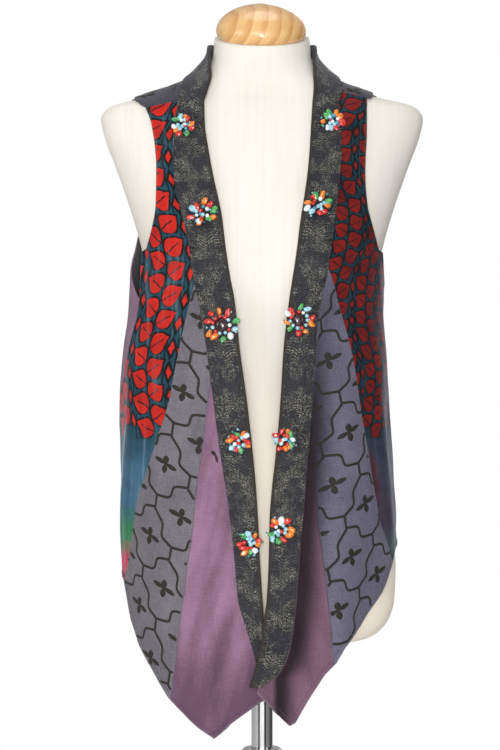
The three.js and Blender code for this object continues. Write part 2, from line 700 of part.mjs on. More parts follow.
// A disc of fine backing with a bead at its heart and long chips laid out round it, on the band's own points
function rosette(side, { out, z, radius }) {
  const turns = ROSETTE.chips * 2;
  const at = (dx, dz, height) => {
    const [x, y] = [out + dx, z + dz];
    const { point, normal } = bandPoint(side, angleAt(side, x, y), y);
    return point.addScaledVector(normal, BAND.over + ROSETTE.rise + height);
  };
  const ring = (share, heightOf) =>
    Array.from({ length: turns }, (_, k) => {
      const turn = (k / turns) * 2 * Math.PI;
      return at(radius * share * Math.cos(turn), radius * share * Math.sin(turn), heightOf(k));
    });
  const between = ROSETTE.backing + ROSETTE.between;
  const chips = (k) => (k % 2 ? between : ROSETTE.backing + ROSETTE.bead);
  const heights = [() => between, chips, chips, () => ROSETTE.backing];
  const points = [at(0, 0, ROSETTE.backing + ROSETTE.bead)];
  ROSETTE_RINGS.forEach((share, n) => points.push(...ring(share, heights[n])));
  points.push(...ring(1, () => 0), at(0, 0, 0));
  const rings = ROSETTE_RINGS.length + 1;
  const index = (n, k) => 1 + n * turns + (k % turns);
  const triangles = [];
  for (let k = 0; k < turns; k += 1) {
    triangles.push([0, index(0, k), index(0, k + 1)]);
    for (let n = 0; n < rings - 1; n += 1) {
      triangles.push([index(n, k), index(n + 1, k), index(n + 1, k + 1)]);
      triangles.push([index(n, k), index(n + 1, k + 1), index(n, k + 1)]);
    }
    triangles.push([points.length - 1, index(rings - 1, k + 1), index(rings - 1, k)]);
  }
  return solid(points, triangles);
}

// Rings joined from bottom to top, closed by a flat fan at each end
function loft(rings) {
  const turns = rings[0].length;
  const points = rings.flat();
  const middle = (ring) => ring.reduce((sum, p) => sum.add(p), new THREE.Vector3()).divideScalar(turns);
  points.push(middle(rings[0]), middle(rings[rings.length - 1]));
  const at = (n, k) => n * turns + (k % turns);
  const triangles = [];
  for (let k = 0; k < turns; k += 1) {
    triangles.push([points.length - 2, at(0, k + 1), at(0, k)]);
    triangles.push([points.length - 1, at(rings.length - 1, k), at(rings.length - 1, k + 1)]);
    for (let n = 0; n < rings.length - 1; n += 1)
      triangles.push([at(n, k), at(n, k + 1), at(n + 1, k + 1)], [at(n, k), at(n + 1, k + 1), at(n + 1, k)]);
  }
  return solid(points, triangles);
}

function torso() {
  const turns = 48;
  return loft(
    FORM.map(({ z }) =>
      Array.from({ length: turns }, (_, k) => {
        const angle = (k / turns) * 360 - 180;
        return place(1, formRadius(angle, z), angle, z);
      }),
    ),
  );
}

const turned = (profile, segments = 32) =>
  new THREE.LatheGeometry(
    profile.map(([r, z]) => new THREE.Vector2(r, z)),
    segments,
  ).rotateX(Math.PI / 2);

// A wooden dome whose brim draws in to the neck
function neckCap() {
  const { radius, height, brim, lip } = CAP;
  const dome = spread(7).map((t) => [
    radius * Math.cos((t * Math.PI) / 2),
    brim + (height - brim) * Math.sin((t * Math.PI) / 2),
  ]);
  dome[dome.length - 1][0] = 0;
  return turned([[0, 0], [radius - lip, 0], [radius - 1, brim / 2], ...dome]);
}

const ring = (bore, radius, low, high, chamfer) =>
  turned([
    [bore, low],
    [radius - chamfer, low],
    [radius, low + chamfer],
    [radius, high - chamfer],
    [radius - chamfer, high],
    [bore, high],
    [bore, low],
  ]);

const cylinder = (radius, low, high, chamfer = 0.5, segments = 32) =>
  turned(
    [
      [0, low],
      [radius - chamfer, low],
      [radius, low + chamfer],
      [radius, high - chamfer],
      [radius - chamfer, high],
      [0, high],
    ],
    segments,
  );

const MATERIALS = {
  jersey: { color: 0xf1ebdc, roughness: 0.9, metalness: 0 },
  wood: { color: 0xe0a968, roughness: 0.35, metalness: 0 },
  chrome: { color: 0xcfcfcc, roughness: 0.15, metalness: 1 },
  print: { color: 0xb02a25, roughness: 0.85, metalness: 0 },
  lattice: { color: 0x6e6b80, roughness: 0.9, metalness: 0 },
  plum: { color: 0x83607f, roughness: 0.9, metalness: 0 },
  brocade: { color: 0x3a3a48, roughness: 0.75, metalness: 0 },
  beads: { color: 0xd98a4a, roughness: 0.25, metalness: 0 },
};

const giletOnForm = new THREE.Group();

function add(name, geometry, material) {
  const mesh = new THREE.Mesh(geometry, new THREE.MeshStandardMaterial(MATERIALS[material]));
  mesh.name = name;
  giletOnForm.add(mesh);
  return mesh;
}

const hubFoot = BASE.thick + SEAT_GAP;
const tubeFoot = hubFoot + HUB.height + SEAT_GAP;
const collarFoot = TUBE.top + SEAT_GAP;
add("stand_base", cylinder(BASE.radius, 0, BASE.thick, BASE.chamfer, 48), "chrome");
add("stand_hub", cylinder(HUB.radius, hubFoot, hubFoot + HUB.height, HUB.chamfer), "chrome");
add("stand_tube", ring(TUBE.bore, TUBE.radius, tubeFoot, TUBE.top, 0.5), "chrome");
add("stand_pole", cylinder(POLE_RADIUS, tubeFoot, FORM_BOTTOM - SEAT_GAP), "chrome");
add("stand_collar", ring(COLLAR.bore, COLLAR.radius, collarFoot, collarFoot + COLLAR.height, COLLAR.chamfer), "chrome");
add("form_torso", torso(), "jersey");
const cap = add("form_neck_cap", neckCap(), "wood");
cap.rotation.x = Math.atan(NECK_LEAN);
cap.position.set(0, 0, NECK_TOP + 3 * SEAT_GAP);

for (const [name, side] of Object.entries(SIDES)) {
  add(`front_print_${name}`, wall(printGrid(side), -CLOTH, 0), "print");
  add(`front_lattice_${name}`, wall(latticeGrid(side), -CLOTH, 0), "lattice");
  add(`front_plum_${name}`, wall(plumGrid(side), -CLOTH, 0), "plum");
  add(`back_${name}`, wall(backGrid(side), -CLOTH, 0), "plum");
  add(`band_${name}`, wall(bandGrid(side), BAND.under, BAND.over), "brocade");
  side.rosettes.forEach((row, k) => add(`rosette_${name}_${k + 1}`, rosette(side, row), "beads"));
}
add("yoke", wall(yokeGrid(), -CLOTH, 0), "lattice");

export default giletOnForm;
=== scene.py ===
"""A patchwork gilet with an open pointed front and beaded bands, on a limbless dress form.

Sizes are worked out in millimetres and turned to metres when a mesh is made. The front faces -Y, and left and
right are the wearer's: left is +X. Angles go round from the centre front, "out" is the distance from the
centre line, and every surface is a radius at each angle and height, as in the solids.
"""

import math

import bmesh
import bpy
import numpy as np
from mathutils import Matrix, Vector


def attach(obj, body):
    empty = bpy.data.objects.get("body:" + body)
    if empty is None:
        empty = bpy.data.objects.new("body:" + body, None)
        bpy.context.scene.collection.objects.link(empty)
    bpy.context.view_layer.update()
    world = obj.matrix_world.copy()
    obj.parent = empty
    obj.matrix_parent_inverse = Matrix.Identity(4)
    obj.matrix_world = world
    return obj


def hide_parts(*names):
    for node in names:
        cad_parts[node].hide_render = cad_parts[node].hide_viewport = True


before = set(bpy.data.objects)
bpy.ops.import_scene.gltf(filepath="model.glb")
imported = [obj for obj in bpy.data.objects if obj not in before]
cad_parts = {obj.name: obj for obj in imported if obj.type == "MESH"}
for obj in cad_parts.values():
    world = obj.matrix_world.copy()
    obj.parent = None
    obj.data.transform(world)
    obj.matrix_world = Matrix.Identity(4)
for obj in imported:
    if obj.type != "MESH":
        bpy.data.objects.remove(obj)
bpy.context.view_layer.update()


# Sizes of the solids


def table(columns, rows):
    values = np.array([line.split() for line in rows.split("\n") if line.strip()], float)
    return {name: values[:, k] for k, name in enumerate(columns.split())}


FORM = table("z half front back", """
    400 104 66 76
    403 124 82 93
    412 140 95 107
    427 152 103 117
    450 158.5 107 123
    490 160 108 124
    540 154 106 119
    600 138 100 102
    680 117 91 80
    740 121 99 84
    800 131 110 94
    840 138 115 101
    876 146 111 106
    920 159 99 108
    966 175 85 106
    1004 189 71 100
    1024 193 63 94
    1036 187 58 88
    1042 174 55 84
    1048 147 52 79
    1056 116 50 74
    1066 90 49 69
    1082 68 49 63
    1100 59 49 59
    1121 57 50 57
""")
GILET = table("z right left front back", """
    280 168 158 122 130
    340 169 160 126 131
    400 170 162 130 132
    480 170 162.5 132 131
    540 171.5 162.5 132 125
    600 170.5 158.5 131 113
    690 169.5 150.5 129 99
    748 167 149 127 100
    800 160 146 124 105
    840 157 146 121 109
    876 154 149 117 112
    920 162 162 105 113
    966 178 178 91 111
    1004 192 192 77 105
    1024 196 196 69 99
    1036 192 191 64 93
    1042 181 179 61 89
    1052 149 146 57 83
    1058 131 128 55 79
    1066 106 104 53 74
    1074 89 89 52 70
    1086 76 75 52 66
    1100 65 64 52 63
    1116 60.5 60.5 53 61
""")
RIGHT = dict(half="right", sign=-1, point=26.3, neck=1045, arm=1034, lattice_top=827, plum_top=716,
             band_foot=356, lap=0, valley=0)
LEFT = dict(half="left", sign=1, point=14.4, neck=1056, arm=1047, lattice_top=846, plum_top=704,
            band_foot=360, lap=1, valley=1)
SIDES = {"right": RIGHT, "left": LEFT}
RIGHT["other"], LEFT["other"] = LEFT, RIGHT
RIGHT["lines"] = table("z edge seam print plum", """
    290 -8 -6 176 116
    360 -6 1 170 105
    385 -5 7 168 101
    402 -4 11 167 99
    431 -2 20 167 95
    460 0 28 165 90
    506 3 32 158 85.5
    529 4 34.5 154.5 82
    575 6.5 40 146 78.5
    632 11.5 49 127.5 70
    689 18 56.5 108.5 62.5
    708 20.5 59 105 60
    747 26 64 97 50
    804 32 74 85 36
    833 37.5 79.5 76 30
    862 42 83.5 66 24
    903 47 92.5 50 18
    950 57 102.5 40 14
    980 62.5 104.5 36 12
    1011 67 103.5 34 10
    1040 68 98.5 32 10
""")
LEFT["lines"] = table("z edge seam print plum", """
    290 -17 -8 172 81
    360 -15.5 1 168 80
    373 -11 15 167 79.5
    385 -8 23 166 79.5
    402 -3.5 29.5 164 79
    431 0.5 35 161 77.5
    460 4.5 38 158 75.5
    509 7 42 150 71.5
    552 8 46 138 68.5
    575 9.5 48 134 67.5
    632 15.5 53 125 65
    689 20.5 57.5 115 59
    747 24 60.5 103.5 46
    804 30.5 67.5 89 34
    839 36 75 77.5 28
    862 39.5 78.5 67 24
    891 43 82.5 54 20
    950 52 90 42 14
    980 55 92.5 38 12
    1011 57 92.5 36 10
    1040 59 89.5 34 10
""")
RIGHT["side"] = table("z angle", """
    470 96
    600 94
    650 92
    685 87
    715 77
    748 72
    782 68.5
    806 67
""")
LEFT["side"] = table("z angle", """
    480 100
    600 100
    780 100
    812 98
""")
RIGHT["scye"] = table("z angle", """
    806 67
    835 67.4
    864 67.8
""")
LEFT["scye"] = table("z angle", """
    812 98
    826 89
    842 80
    864 73.4
""")
RIGHT["armhole"] = table("z out", """
    864 137
    894 129
    918 125.5
    954 125
    985 126.5
    1013 130.5
    1034 138
""")
LEFT["armhole"] = table("z out", """
    864 137.5
    890 130.5
    917 124
    954 121.5
    991 123
    1029 123.5
    1047 124.5
""")
RIGHT["back"] = table("z angle", """
    806 67
    822 74
    845 84
    874 97
    905 108
    935 114
    962 117
""")
LEFT["back"] = table("z angle", """
    812 98
    826 104
    850 110
    890 116
    930 119
    962 120
""")
RIGHT["hem"] = table("angle z", """
    -10 352
    1.3 341
    15.4 318
    26.3 297.5
    36.4 319
    47.2 344
    55.3 373
    63.5 402
    69 431
    72.5 460
    75 478
    96 478
    130 462
    180 450
""")
LEFT["hem"] = table("angle z", """
    -12 362
    -3.7 355
    11.2 320
    14.4 313.5
    17 317
    29.9 373
    34.3 386
    38 403
    49 426
    61.5 464
    69 497
    72 507
    80 513
    88 517
    100 510
    130 470
    180 450
""")
LEFT_VALLEY = table("z depth", """
    280 13
    400 16
    500 17
    600 17
    690 13
    740 9
    800 4
    860 0
""")
RIGHT["folds"] = table("top_angle foot_angle top foot spread depth", """
    24 24 520 330 6 8
    34 36 560 320 7 -4
    52 56 640 400 8 4
    78 84 760 500 7 4
    112 118 720 460 9 6
    140 146 700 450 10 7
    172 168 740 450 8 6
""")
LEFT["folds"] = table("top_angle foot_angle top foot spread depth", """
    34 37 620 400 6 -5
    50 52 660 430 8 4
    76 80 700 520 7 4
    116 122 740 460 9 6
    148 150 690 450 10 7
""")
NECK_BAND = table("edge_angle edge_z seam_angle seam_z", """
    52 1064 65 1054
    60 1088 73 1066
    73 1105 82 1072
    90 1112 92 1074
    108 1111 108 1071
    128 1107 128 1066
    152 1103 152 1062
    180 1101 180 1060
""")
RIGHT["yoke"] = table("neck_angle neck_z arm_angle arm_z", """
    58 1045 70 1034
    66 1061 78 1046
    78 1075 90 1052
    94 1079 99 1046
    108 1076 107 1032
    124 1071 114 1010
    138 1068 118 982
    150 1066 117 962
    160 1065 138 962
    170 1064 159 962
    180 1064 180 962
""")
LEFT["yoke"] = table("neck_angle neck_z arm_angle arm_z", """
    60 1056 72 1047
    67 1065 82 1055
    78 1075 90 1058
    94 1079 100 1052
    108 1076 110 1038
    124 1071 117 1012
    138 1068 121 984
    150 1066 120 962
    160 1065 140 962
    170 1064 160 962
    180 1064 180 962
""")
RIGHT["rosettes"] = table("out z radius", """
    92 1009 15
    68 904 18
    46.5 775 19
    26 641 15
    15 525 15
""")
LEFT["rosettes"] = table("out z radius", """
    82 1014 14.5
    64 914 17
    41 781 17
    25 643 14.5
    20 540 16
""")

# A rise on the form at an angle and height, and how far round and up it spreads
BUST = {"angle": 34, "z": 838, "rise": 11, "spread_angle": 19, "spread_z": 52}
# The left front lies over the right below one height, and not at all above the other
LAP = {"rise": 6.5, "full": 450, "none": 580, "spread_angle": 50}
VALLEY = {"width": 9.5, "start": 12, "slow": 0.73}  # steep beside the band, slow to come back
# The band lies on the panels, which reach under it by the tuck
BAND = {"under": 0.6, "over": 3.0, "tuck": 6}
SQUARENESS = 2.3  # power of every section: 2 is an ellipse, more is squarer
CLEARANCE = 3.6  # from the form to a panel's outer face
FORM_BOTTOM, NECK_TOP, LEAN_FROM, NECK_LEAN = 400, 1121, 1060, 0.3
YOKE_SEAM = 962
CLOTH = 1.8
SEAM = 0.04  # half of the gap at a seam


def mix(a, b, t):
    return a + (b - a) * t


def ease(t):
    t = np.clip(t, 0, 1)
    return t * t * (3 - 2 * t)


def rounded_max(a, b, k=2):
    return (a + b + np.hypot(a - b, k)) / 2


def curve(rows, by, column, at):
    """A column of a table at a place along another column, smooth and without overshoot."""
    x, y = rows[by], rows[column]
    h = np.diff(x)
    d = np.diff(y) / h
    m = np.concatenate([d[:1], np.zeros(len(x) - 2), d[-1:]])
    same = d[:-1] * d[1:] > 0
    m[1:-1][same] = (2 * d[:-1] * d[1:])[same] / (d[:-1] + d[1:])[same]
    at = np.clip(at, x[0], x[-1])
    k = np.clip(np.searchsorted(x, at, side="right") - 1, 0, len(h) - 1)
    t = (at - x[k]) / h[k]
    bend = (1 - t) * m[k] * h[k] - t * m[k + 1] * h[k] + (y[k] - y[k + 1]) * (1 - 2 * t)
    return mix(y[k], y[k + 1], t) + t * (1 - t) * bend


def section(angle, half, front, back):
    a = np.radians(angle)
    depth = np.where(np.cos(a) > 0, front, back)
    across, through = np.abs(np.sin(a) / half), np.abs(np.cos(a) / depth)
    return (across**SQUARENESS + through**SQUARENESS) ** (-1 / SQUARENESS)


def form_radius(angle, z):
    half, front, back = (curve(FORM, "z", name, z) for name in ("half", "front", "back"))
    bust = np.exp(-(((np.abs(angle) - BUST["angle"]) / BUST["spread_angle"]) ** 2)
                  - ((z - BUST["z"]) / BUST["spread_z"]) ** 2)
    return section(angle, half, front, back) + BUST["rise"] * bust


def rest_radius(side, angle, z, depth=0.0):
    """The gilet's outer face, let in by a fold's depth, and never closer to the form than the clearance."""
    half, front, back = (curve(GILET, "z", name, z) for name in (side["half"], "front", "back"))
    low = ease((LAP["none"] - z) / (LAP["none"] - LAP["full"]))
    lap = side["lap"] * LAP["rise"] * (low * np.exp(-((angle / LAP["spread_angle"]) ** 2)))
    hang = section(angle, half, front, back) + lap - depth
    slope = (form_radius(angle, z + 1) - form_radius(angle, z - 1)) / 2
    clear = form_radius(angle, z) + CLEARANCE * np.hypot(1, slope)
    return np.where(z < FORM_BOTTOM, hang, rounded_max(hang, clear))


def angle_at(side, out, z):
    """The angle at which the gilet lies so far out at this height."""
    low, high = np.full(np.shape(z), -60.0), np.full(np.shape(z), 90.0)
    for _ in range(26):
        middle = (low + high) / 2
        inside = rest_radius(side, middle, z) * np.sin(np.radians(middle)) < out
        low, high = np.where(inside, middle, low), np.where(inside, high, middle)
    return (low + high) / 2


def fold_depth(side, angle, z):
    depth = 0.0
    for folds, at in ((side["folds"], angle), (side["other"]["folds"], 360 - angle)):
        for top_angle, foot_angle, top, foot, spread, deep in zip(*folds.values()):
            down = (top - z) / (top - foot)
            centre = mix(top_angle, foot_angle, np.clip(down, 0, 1))
            depth = depth + deep * ease(down) * np.exp(-(((at - centre) / spread) ** 2))
    return depth


def valley_depth(side, out, z):
    past = (out - np.maximum(curve(side["lines"], "z", "seam", z), VALLEY["start"])) / VALLEY["width"]
    past = np.where(past > 1, 1 + (past - 1) * VALLEY["slow"], past)
    deep = curve(LEFT_VALLEY, "z", "depth", z) * past**2 * np.exp(2 - 2 * past)
    return side["valley"] * np.where((past > 0) & (out > 0), deep, 0)


def creases(side, angle, z):
    """Fine slack in the cloth that the solids leave out: uneven soft ripples, deeper towards the hem."""
    a = side["sign"] * np.radians(angle)
    low = ease((900 - z) / 420)
    wave = np.sin(9 * a + 0.011 * z + 1) * np.sin(0.013 * z + 2 + 2 * np.sin(3 * a))
    wave = wave + 0.55 * np.sin(17 * a - 0.006 * z + 2) * np.sin(0.021 * z + 1 + np.sin(5 * a))
    drag = np.sin(0.045 * (z + 70 * np.abs(a))) * np.exp(-(((z - 780) / 130) ** 2))
    drag = drag * ease((angle - 25) / 40) * ease((130 - angle) / 30)
    # Slack at the sides below the armholes, and upright creases where the cloth has been folded away
    slack = np.sin(14 * np.abs(a) + 0.02 * z) * np.exp(-(((angle - 84) / 26) ** 2) - ((z - 620) / 130) ** 2)
    pressed = np.exp(-(((angle - 19 - 0.012 * (z - 400)) / 1.6) ** 2)) * ease((560 - z) / 120)
    pressed = pressed + np.exp(-(((angle - 158) / 2.2) ** 2)) * ease((900 - z) / 200)
    fine = np.sin(0.09 * z + 7 * a) * np.sin(31 * a + 0.02 * z)
    return (0.6 + 1.3 * low) * wave + 0.9 * drag + 1.8 * slack - 0.9 * pressed + 0.25 * fine


def hung_radius(side, angle, z):
    """The outer face with every fold and crease. Ripples die out beside the band, which keeps them flat."""
    out = rest_radius(side, angle, z) * np.sin(np.radians(angle))
    clear_of_band = ease((out - curve(side["lines"], "z", "seam", z)) / 14) + (angle >= 90)
    still = np.clip(clear_of_band, 0, 1) * ease((1040 - z) / 60)
    valley = np.where(angle < 90, valley_depth(side, out, z), 0)
    depth = valley + fold_depth(side, angle, z) + creases(side, angle, z) * still
    return rest_radius(side, angle, z, depth)


def place(sign, radius, angle, z):
    y = -radius * np.cos(np.radians(angle))
    lean = NECK_LEAN * ease((z - LEAN_FROM) / (NECK_TOP - LEAN_FROM))
    return np.stack(np.broadcast_arrays(sign * radius * np.sin(np.radians(angle)), y, z + lean * y), -1)


def unit(v):
    return v / np.maximum(np.linalg.norm(v, axis=-1, keepdims=True), 1e-9)


def on_surface(side, radius, angle, z):
    """Points of a side's surface, and the way out of it at each."""
    angle, z = np.broadcast_arrays(np.asarray(angle, float), np.asarray(z, float))

    def at(turn, rise):
        return place(side["sign"], radius(side, angle + turn, z + rise), angle + turn, z + rise)

    normal = np.cross(at(0.3, 0) - at(-0.3, 0), at(0, 1) - at(0, -1)) * side["sign"]
    return at(0, 0), unit(normal)


def line_angle(side, rows, column, shift=0):
    """The angle of one of a side's lines down the body, as a quick function of height."""
    heights = np.arange(275, 1125, 1.5)
    angles = angle_at(side, curve(side[rows], "z", column, heights) + shift, heights)
    return lambda z: np.interp(z, heights, angles)


for side in SIDES.values():
    side["band_angle"] = line_angle(side, "lines", "seam")
    side["seam_angle"] = line_angle(side, "lines", "seam", -BAND["tuck"])
    for name in ("edge", "print", "plum"):
        side[name + "_angle"] = line_angle(side, "lines", name)
    side["arm_angle"] = line_angle(side, "armhole", "out")


# Panels of cloth, each a closed thin shell over a grid of points


ARC_STEP = {"z": 5.0, "angle": 0.5}
ARC = {"heights": np.arange(280, 1126, ARC_STEP["z"]), "angles": np.linspace(-40, 181, 443)}


def arc_table(side):
    """Length round the body from the centre front, at each height and angle."""
    a, z = np.meshgrid(ARC["angles"], ARC["heights"])
    r = rest_radius(side, a, z)
    x, y = r * np.sin(np.radians(a)), r * np.cos(np.radians(a))
    step = np.hypot(np.diff(x, axis=1), np.diff(y, axis=1))
    length = np.concatenate([np.zeros((len(z), 1)), np.cumsum(step, axis=1)], 1)
    return length - np.array([[np.interp(0, ARC["angles"], row)] for row in length])


for side in SIDES.values():
    side["arc"] = arc_table(side)


def on_grid(grid, rows, columns):
    """Values of a fine grid between its points."""
    i, j = (np.clip(k, 0, n - 1.001) for k, n in zip((rows, columns), grid.shape))
    i0, j0 = i.astype(int), j.astype(int)
    s, t = i - i0, j - j0
    if grid.ndim > 2:
        s, t = s[:, None], t[:, None]
    return mix(mix(grid[i0, j0], grid[i0, j0 + 1], t), mix(grid[i0 + 1, j0], grid[i0 + 1, j0 + 1], t), s)


def arc_length(side, angle, z):
    angle, z = np.broadcast_arrays(np.asarray(angle, float), np.asarray(z, float))
    row, column = (z - ARC["heights"][0]) / ARC_STEP["z"], (angle - ARC["angles"][0]) / ARC_STEP["angle"]
    return on_grid(side["arc"], row, column)


def angle_of(side, u, z):
    """The angle at a length round the body."""
    low, high = (np.full(np.shape(u), ARC["angles"][end]) for end in (0, -1))
    for _ in range(20):
        middle = (low + high) / 2
        short = arc_length(side, middle, z) < u
        low, high = np.where(short, middle, low), np.where(short, high, middle)
    return (low + high) / 2


def hem_at(side):
    return lambda angle: np.interp(angle, side["hem"]["angle"], side["hem"]["z"])


def panel_grid(side, inner, outer, top, hem, shares, rows):
    """Angles and heights of a panel between two seams, from its top to its hem."""
    def inset(angle, z):
        return np.degrees(SEAM / rest_radius(side, angle, z))

    def angle_of_share(share, z):
        low, high = inner(z), outer(z)
        return mix(low + inset(low, z), high - inset(high, z), share)

    def meet(line):
        z = line(angle_of_share(shares, np.full(len(shares), 700.0)))
        for _ in range(60):
            z = mix(z, line(angle_of_share(shares, z)), 0.5)
        return z

    tops, feet = meet(top), meet(hem)
    z = mix(tops, feet, rows[:, None])
    return angle_of_share(shares[None, :], z), z


def side_angle(side, scye):
    return lambda z: np.where(z > side[scye]["z"][0], curve(side[scye], "z", "angle", z),
                              curve(side["side"], "z", "angle", z))


def spread(count, power=1.0):
    return np.linspace(0, 1, count + 1) ** power


def print_panel(side):
    side_seam, shoulder = side_angle(side, "scye"), side["yoke"]["neck_angle"][0]
    return dict(
        inner=lambda z: np.maximum(side["seam_angle"](z), side["print_angle"](z)),
        outer=lambda z: np.where(z > side["armhole"]["z"][0], side["arm_angle"](z), side_seam(z)),
        top=lambda a: mix(side["neck"], side["arm"], np.clip((a - shoulder) / 12, 0, 1)) - SEAM,
        hem=hem_at(side))


def lattice_panel(side):
    return dict(
        inner=lambda z: np.maximum(side["seam_angle"](z), side["plum_angle"](z)),
        outer=side["print_angle"],
        top=lambda a: np.full(np.shape(a), float(side["lattice_top"])),
        hem=hem_at(side))


def plum_panel(side):
    return dict(
        inner=side["seam_angle"],
        outer=side["plum_angle"],
        top=lambda a: np.full(np.shape(a), float(side["plum_top"])),
        hem=hem_at(side))


def back_panel(side):
    return dict(
        inner=side_angle(side, "back"),
        outer=lambda z: np.full(np.shape(z), 180.0),
        top=lambda a: np.full(np.shape(a), YOKE_SEAM - SEAM),
        hem=hem_at(side))


def strip_grid(rows, between, shares):
    """Angles and heights between two lines, each given at the same stations."""
    stations = dict(rows, k=np.arange(len(rows["inner_z"]), dtype=float))
    k = np.linspace(0, len(rows["inner_z"]) - 1, (len(rows["inner_z"]) - 1) * between + 1)
    read = {name: curve(stations, "k", name, k)[:, None] for name in rows}
    return (mix(read["inner_angle"], read["outer_angle"], shares),
            mix(read["inner_z"], read["outer_z"], shares))


def with_rims(grid):
    """Adds two rows and two columns close beside each edge, so that the edge can be rounded."""
    def insert(a):
        for way in (1, -1):
            a = a[::way]
            a = np.concatenate([a[:1], mix(a[0], a[1], 0.16)[None], mix(a[0], a[1], 0.5)[None], a[1:]])[::way]
        return a

    return [insert(insert(a).T).T for a in grid]


def distance_in(points, axis):
    """How far each point is along its row or column from that line's two ends."""
    step = np.linalg.norm(np.diff(points, axis=axis), axis=-1)
    total = np.cumsum(step, axis=axis)
    zero = np.zeros_like(np.take(total, [0], axis=axis))
    along = np.concatenate([zero, total], axis=axis)
    return along, np.take(along, [-1], axis=axis) - along


def new_object(name, points, faces, materials, face_material=None):
    mesh = bpy.data.meshes.new(name)
    points = np.asarray(points, float) / 1000
    mesh.from_pydata(points.tolist(), [], [list(map(int, face)) for face in faces])
    for material in materials:
        mesh.materials.append(material)
    if face_material is not None:
        mesh.polygons.foreach_set("material_index", np.asarray(face_material, np.int32))
    mesh.polygons.foreach_set("use_smooth", np.ones(len(mesh.polygons), bool))
    mesh.update()
    piece = bpy.data.objects.new(name, mesh)
    bpy.context.scene.collection.objects.link(piece)
    return piece


def give(piece, values, name="cloth", kind="FLOAT_VECTOR", key="vector"):
    """Values at a piece's points, which its material reads."""
    layer = piece.data.attributes.new(name, kind, "POINT")
    layer.data.foreach_set(key, np.asarray(values, np.float32).ravel())


def keep(piece, slot, *nodes):
    """Every piece is in the one body and may stand for a solid. Its slot is not used."""
    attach(piece, "root")
    if nodes:
        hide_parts(*nodes)
    return piece


def shell(name, points, normals, low, high, cloth_at, materials):
    """A closed wall over a grid, from one height over it to another. A height is one number or a grid."""
    rows, columns = points.shape[:2]
    low, high = (np.broadcast_to(np.asarray(h, float), (rows, columns))[..., None] for h in (low, high))
    skins = np.concatenate([(points + normals * h).reshape(-1, 3) for h in (high, low)])
    under = rows * columns
    at = np.arange(under).reshape(rows, columns)
    quads = np.stack([at[:-1, :-1], at[1:, :-1], at[1:, 1:], at[:-1, 1:]], -1).reshape(-1, 4)
    # The winding that faces outwards depends on which way round the grid runs
    middle = quads[len(quads) // 2]
    a, b, c = (skins[middle[k]] for k in (0, 1, 2))
    outward = np.dot(np.cross(b - a, c - a), normals.reshape(-1, 3)[middle[0]]) > 0
    rim = np.concatenate([at[:, 0], at[-1, 1:], at[-2::-1, -1], at[0, -2:0:-1]])
    following = np.roll(rim, -1)
    sides = np.stack([rim, rim + under, following + under, following], -1)
    faces = np.concatenate([quads, quads[:, ::-1] + under, sides])
    if not outward:
        faces = faces[:, ::-1]
    slots = np.concatenate([np.zeros(len(quads)), np.ones(len(quads)), np.zeros(len(sides))])
    piece = new_object(name, skins, faces, materials, slots)
    give(piece, np.concatenate([cloth_at.reshape(-1, 3)] * 2))
    return piece


def rounded_edge(distance, radius):
    """How far a cloth's face drops at a distance from its folded edge."""
    t = np.clip(1 - distance / radius, 0, 1)
    return radius * (1 - np.sqrt(np.maximum(1 - t * t, 0)))


# Node materials


class Wire:
    """A number or vector in a node tree, with arithmetic that adds the nodes for it."""

    def __init__(self, tree, socket):
        self.tree, self.socket = tree, socket

    def math(self, operation, *others):
        node = self.tree.nodes.new("ShaderNodeMath")
        node.operation = operation
        for slot, value in zip(node.inputs, (self, *others)):
            put(self.tree, slot, value)
        return Wire(self.tree, node.outputs[0])

    def __rsub__(self, other):
        return (self * -1) + other

    def fold(self, period):
        """Distance from the nearest multiple of the period, signed."""
        return ((self / period + 0.5).fract() - 0.5) * period

    def step(self, start, end):
        """0 at the start, 1 at the end, eased between them."""
        node = self.tree.nodes.new("ShaderNodeMapRange")
        node.interpolation_type = "SMOOTHSTEP"
        for name, value in (("Value", self), ("From Min", start), ("From Max", end)):
            put(self.tree, node.inputs[name], value)
        return Wire(self.tree, node.outputs["Result"])


for name, kind in {
    "__add__": "ADD", "__radd__": "ADD", "__sub__": "SUBTRACT", "__mul__": "MULTIPLY", "__rmul__": "MULTIPLY",
    "__truediv__": "DIVIDE", "sin": "SINE", "abs": "ABSOLUTE", "floor": "FLOOR", "fract": "FRACT",
    "root": "SQRT",
    "atan2": "ARCTAN2", "high": "MAXIMUM", "low": "MINIMUM", "above": "GREATER_THAN",
}.items():
    setattr(Wire, name, lambda self, *others, kind=kind: self.math(kind, *others))


def srgb(text):
    """A colour as the renderer takes it, from six hex digits."""
    values = [int(text[k:k + 2], 16) / 255 for k in (0, 2, 4)]
    return tuple(v / 12.92 if v <= 0.04045 else ((v + 0.055) / 1.055) ** 2.4 for v in values)


def put(tree, socket, value):
    """Sets a socket to a wire, a colour in hex digits, or a plain value."""
    if isinstance(value, Wire):
        tree.links.new(value.socket, socket)
    else:
        socket.default_value = (*srgb(value), 1) if isinstance(value, str) else value


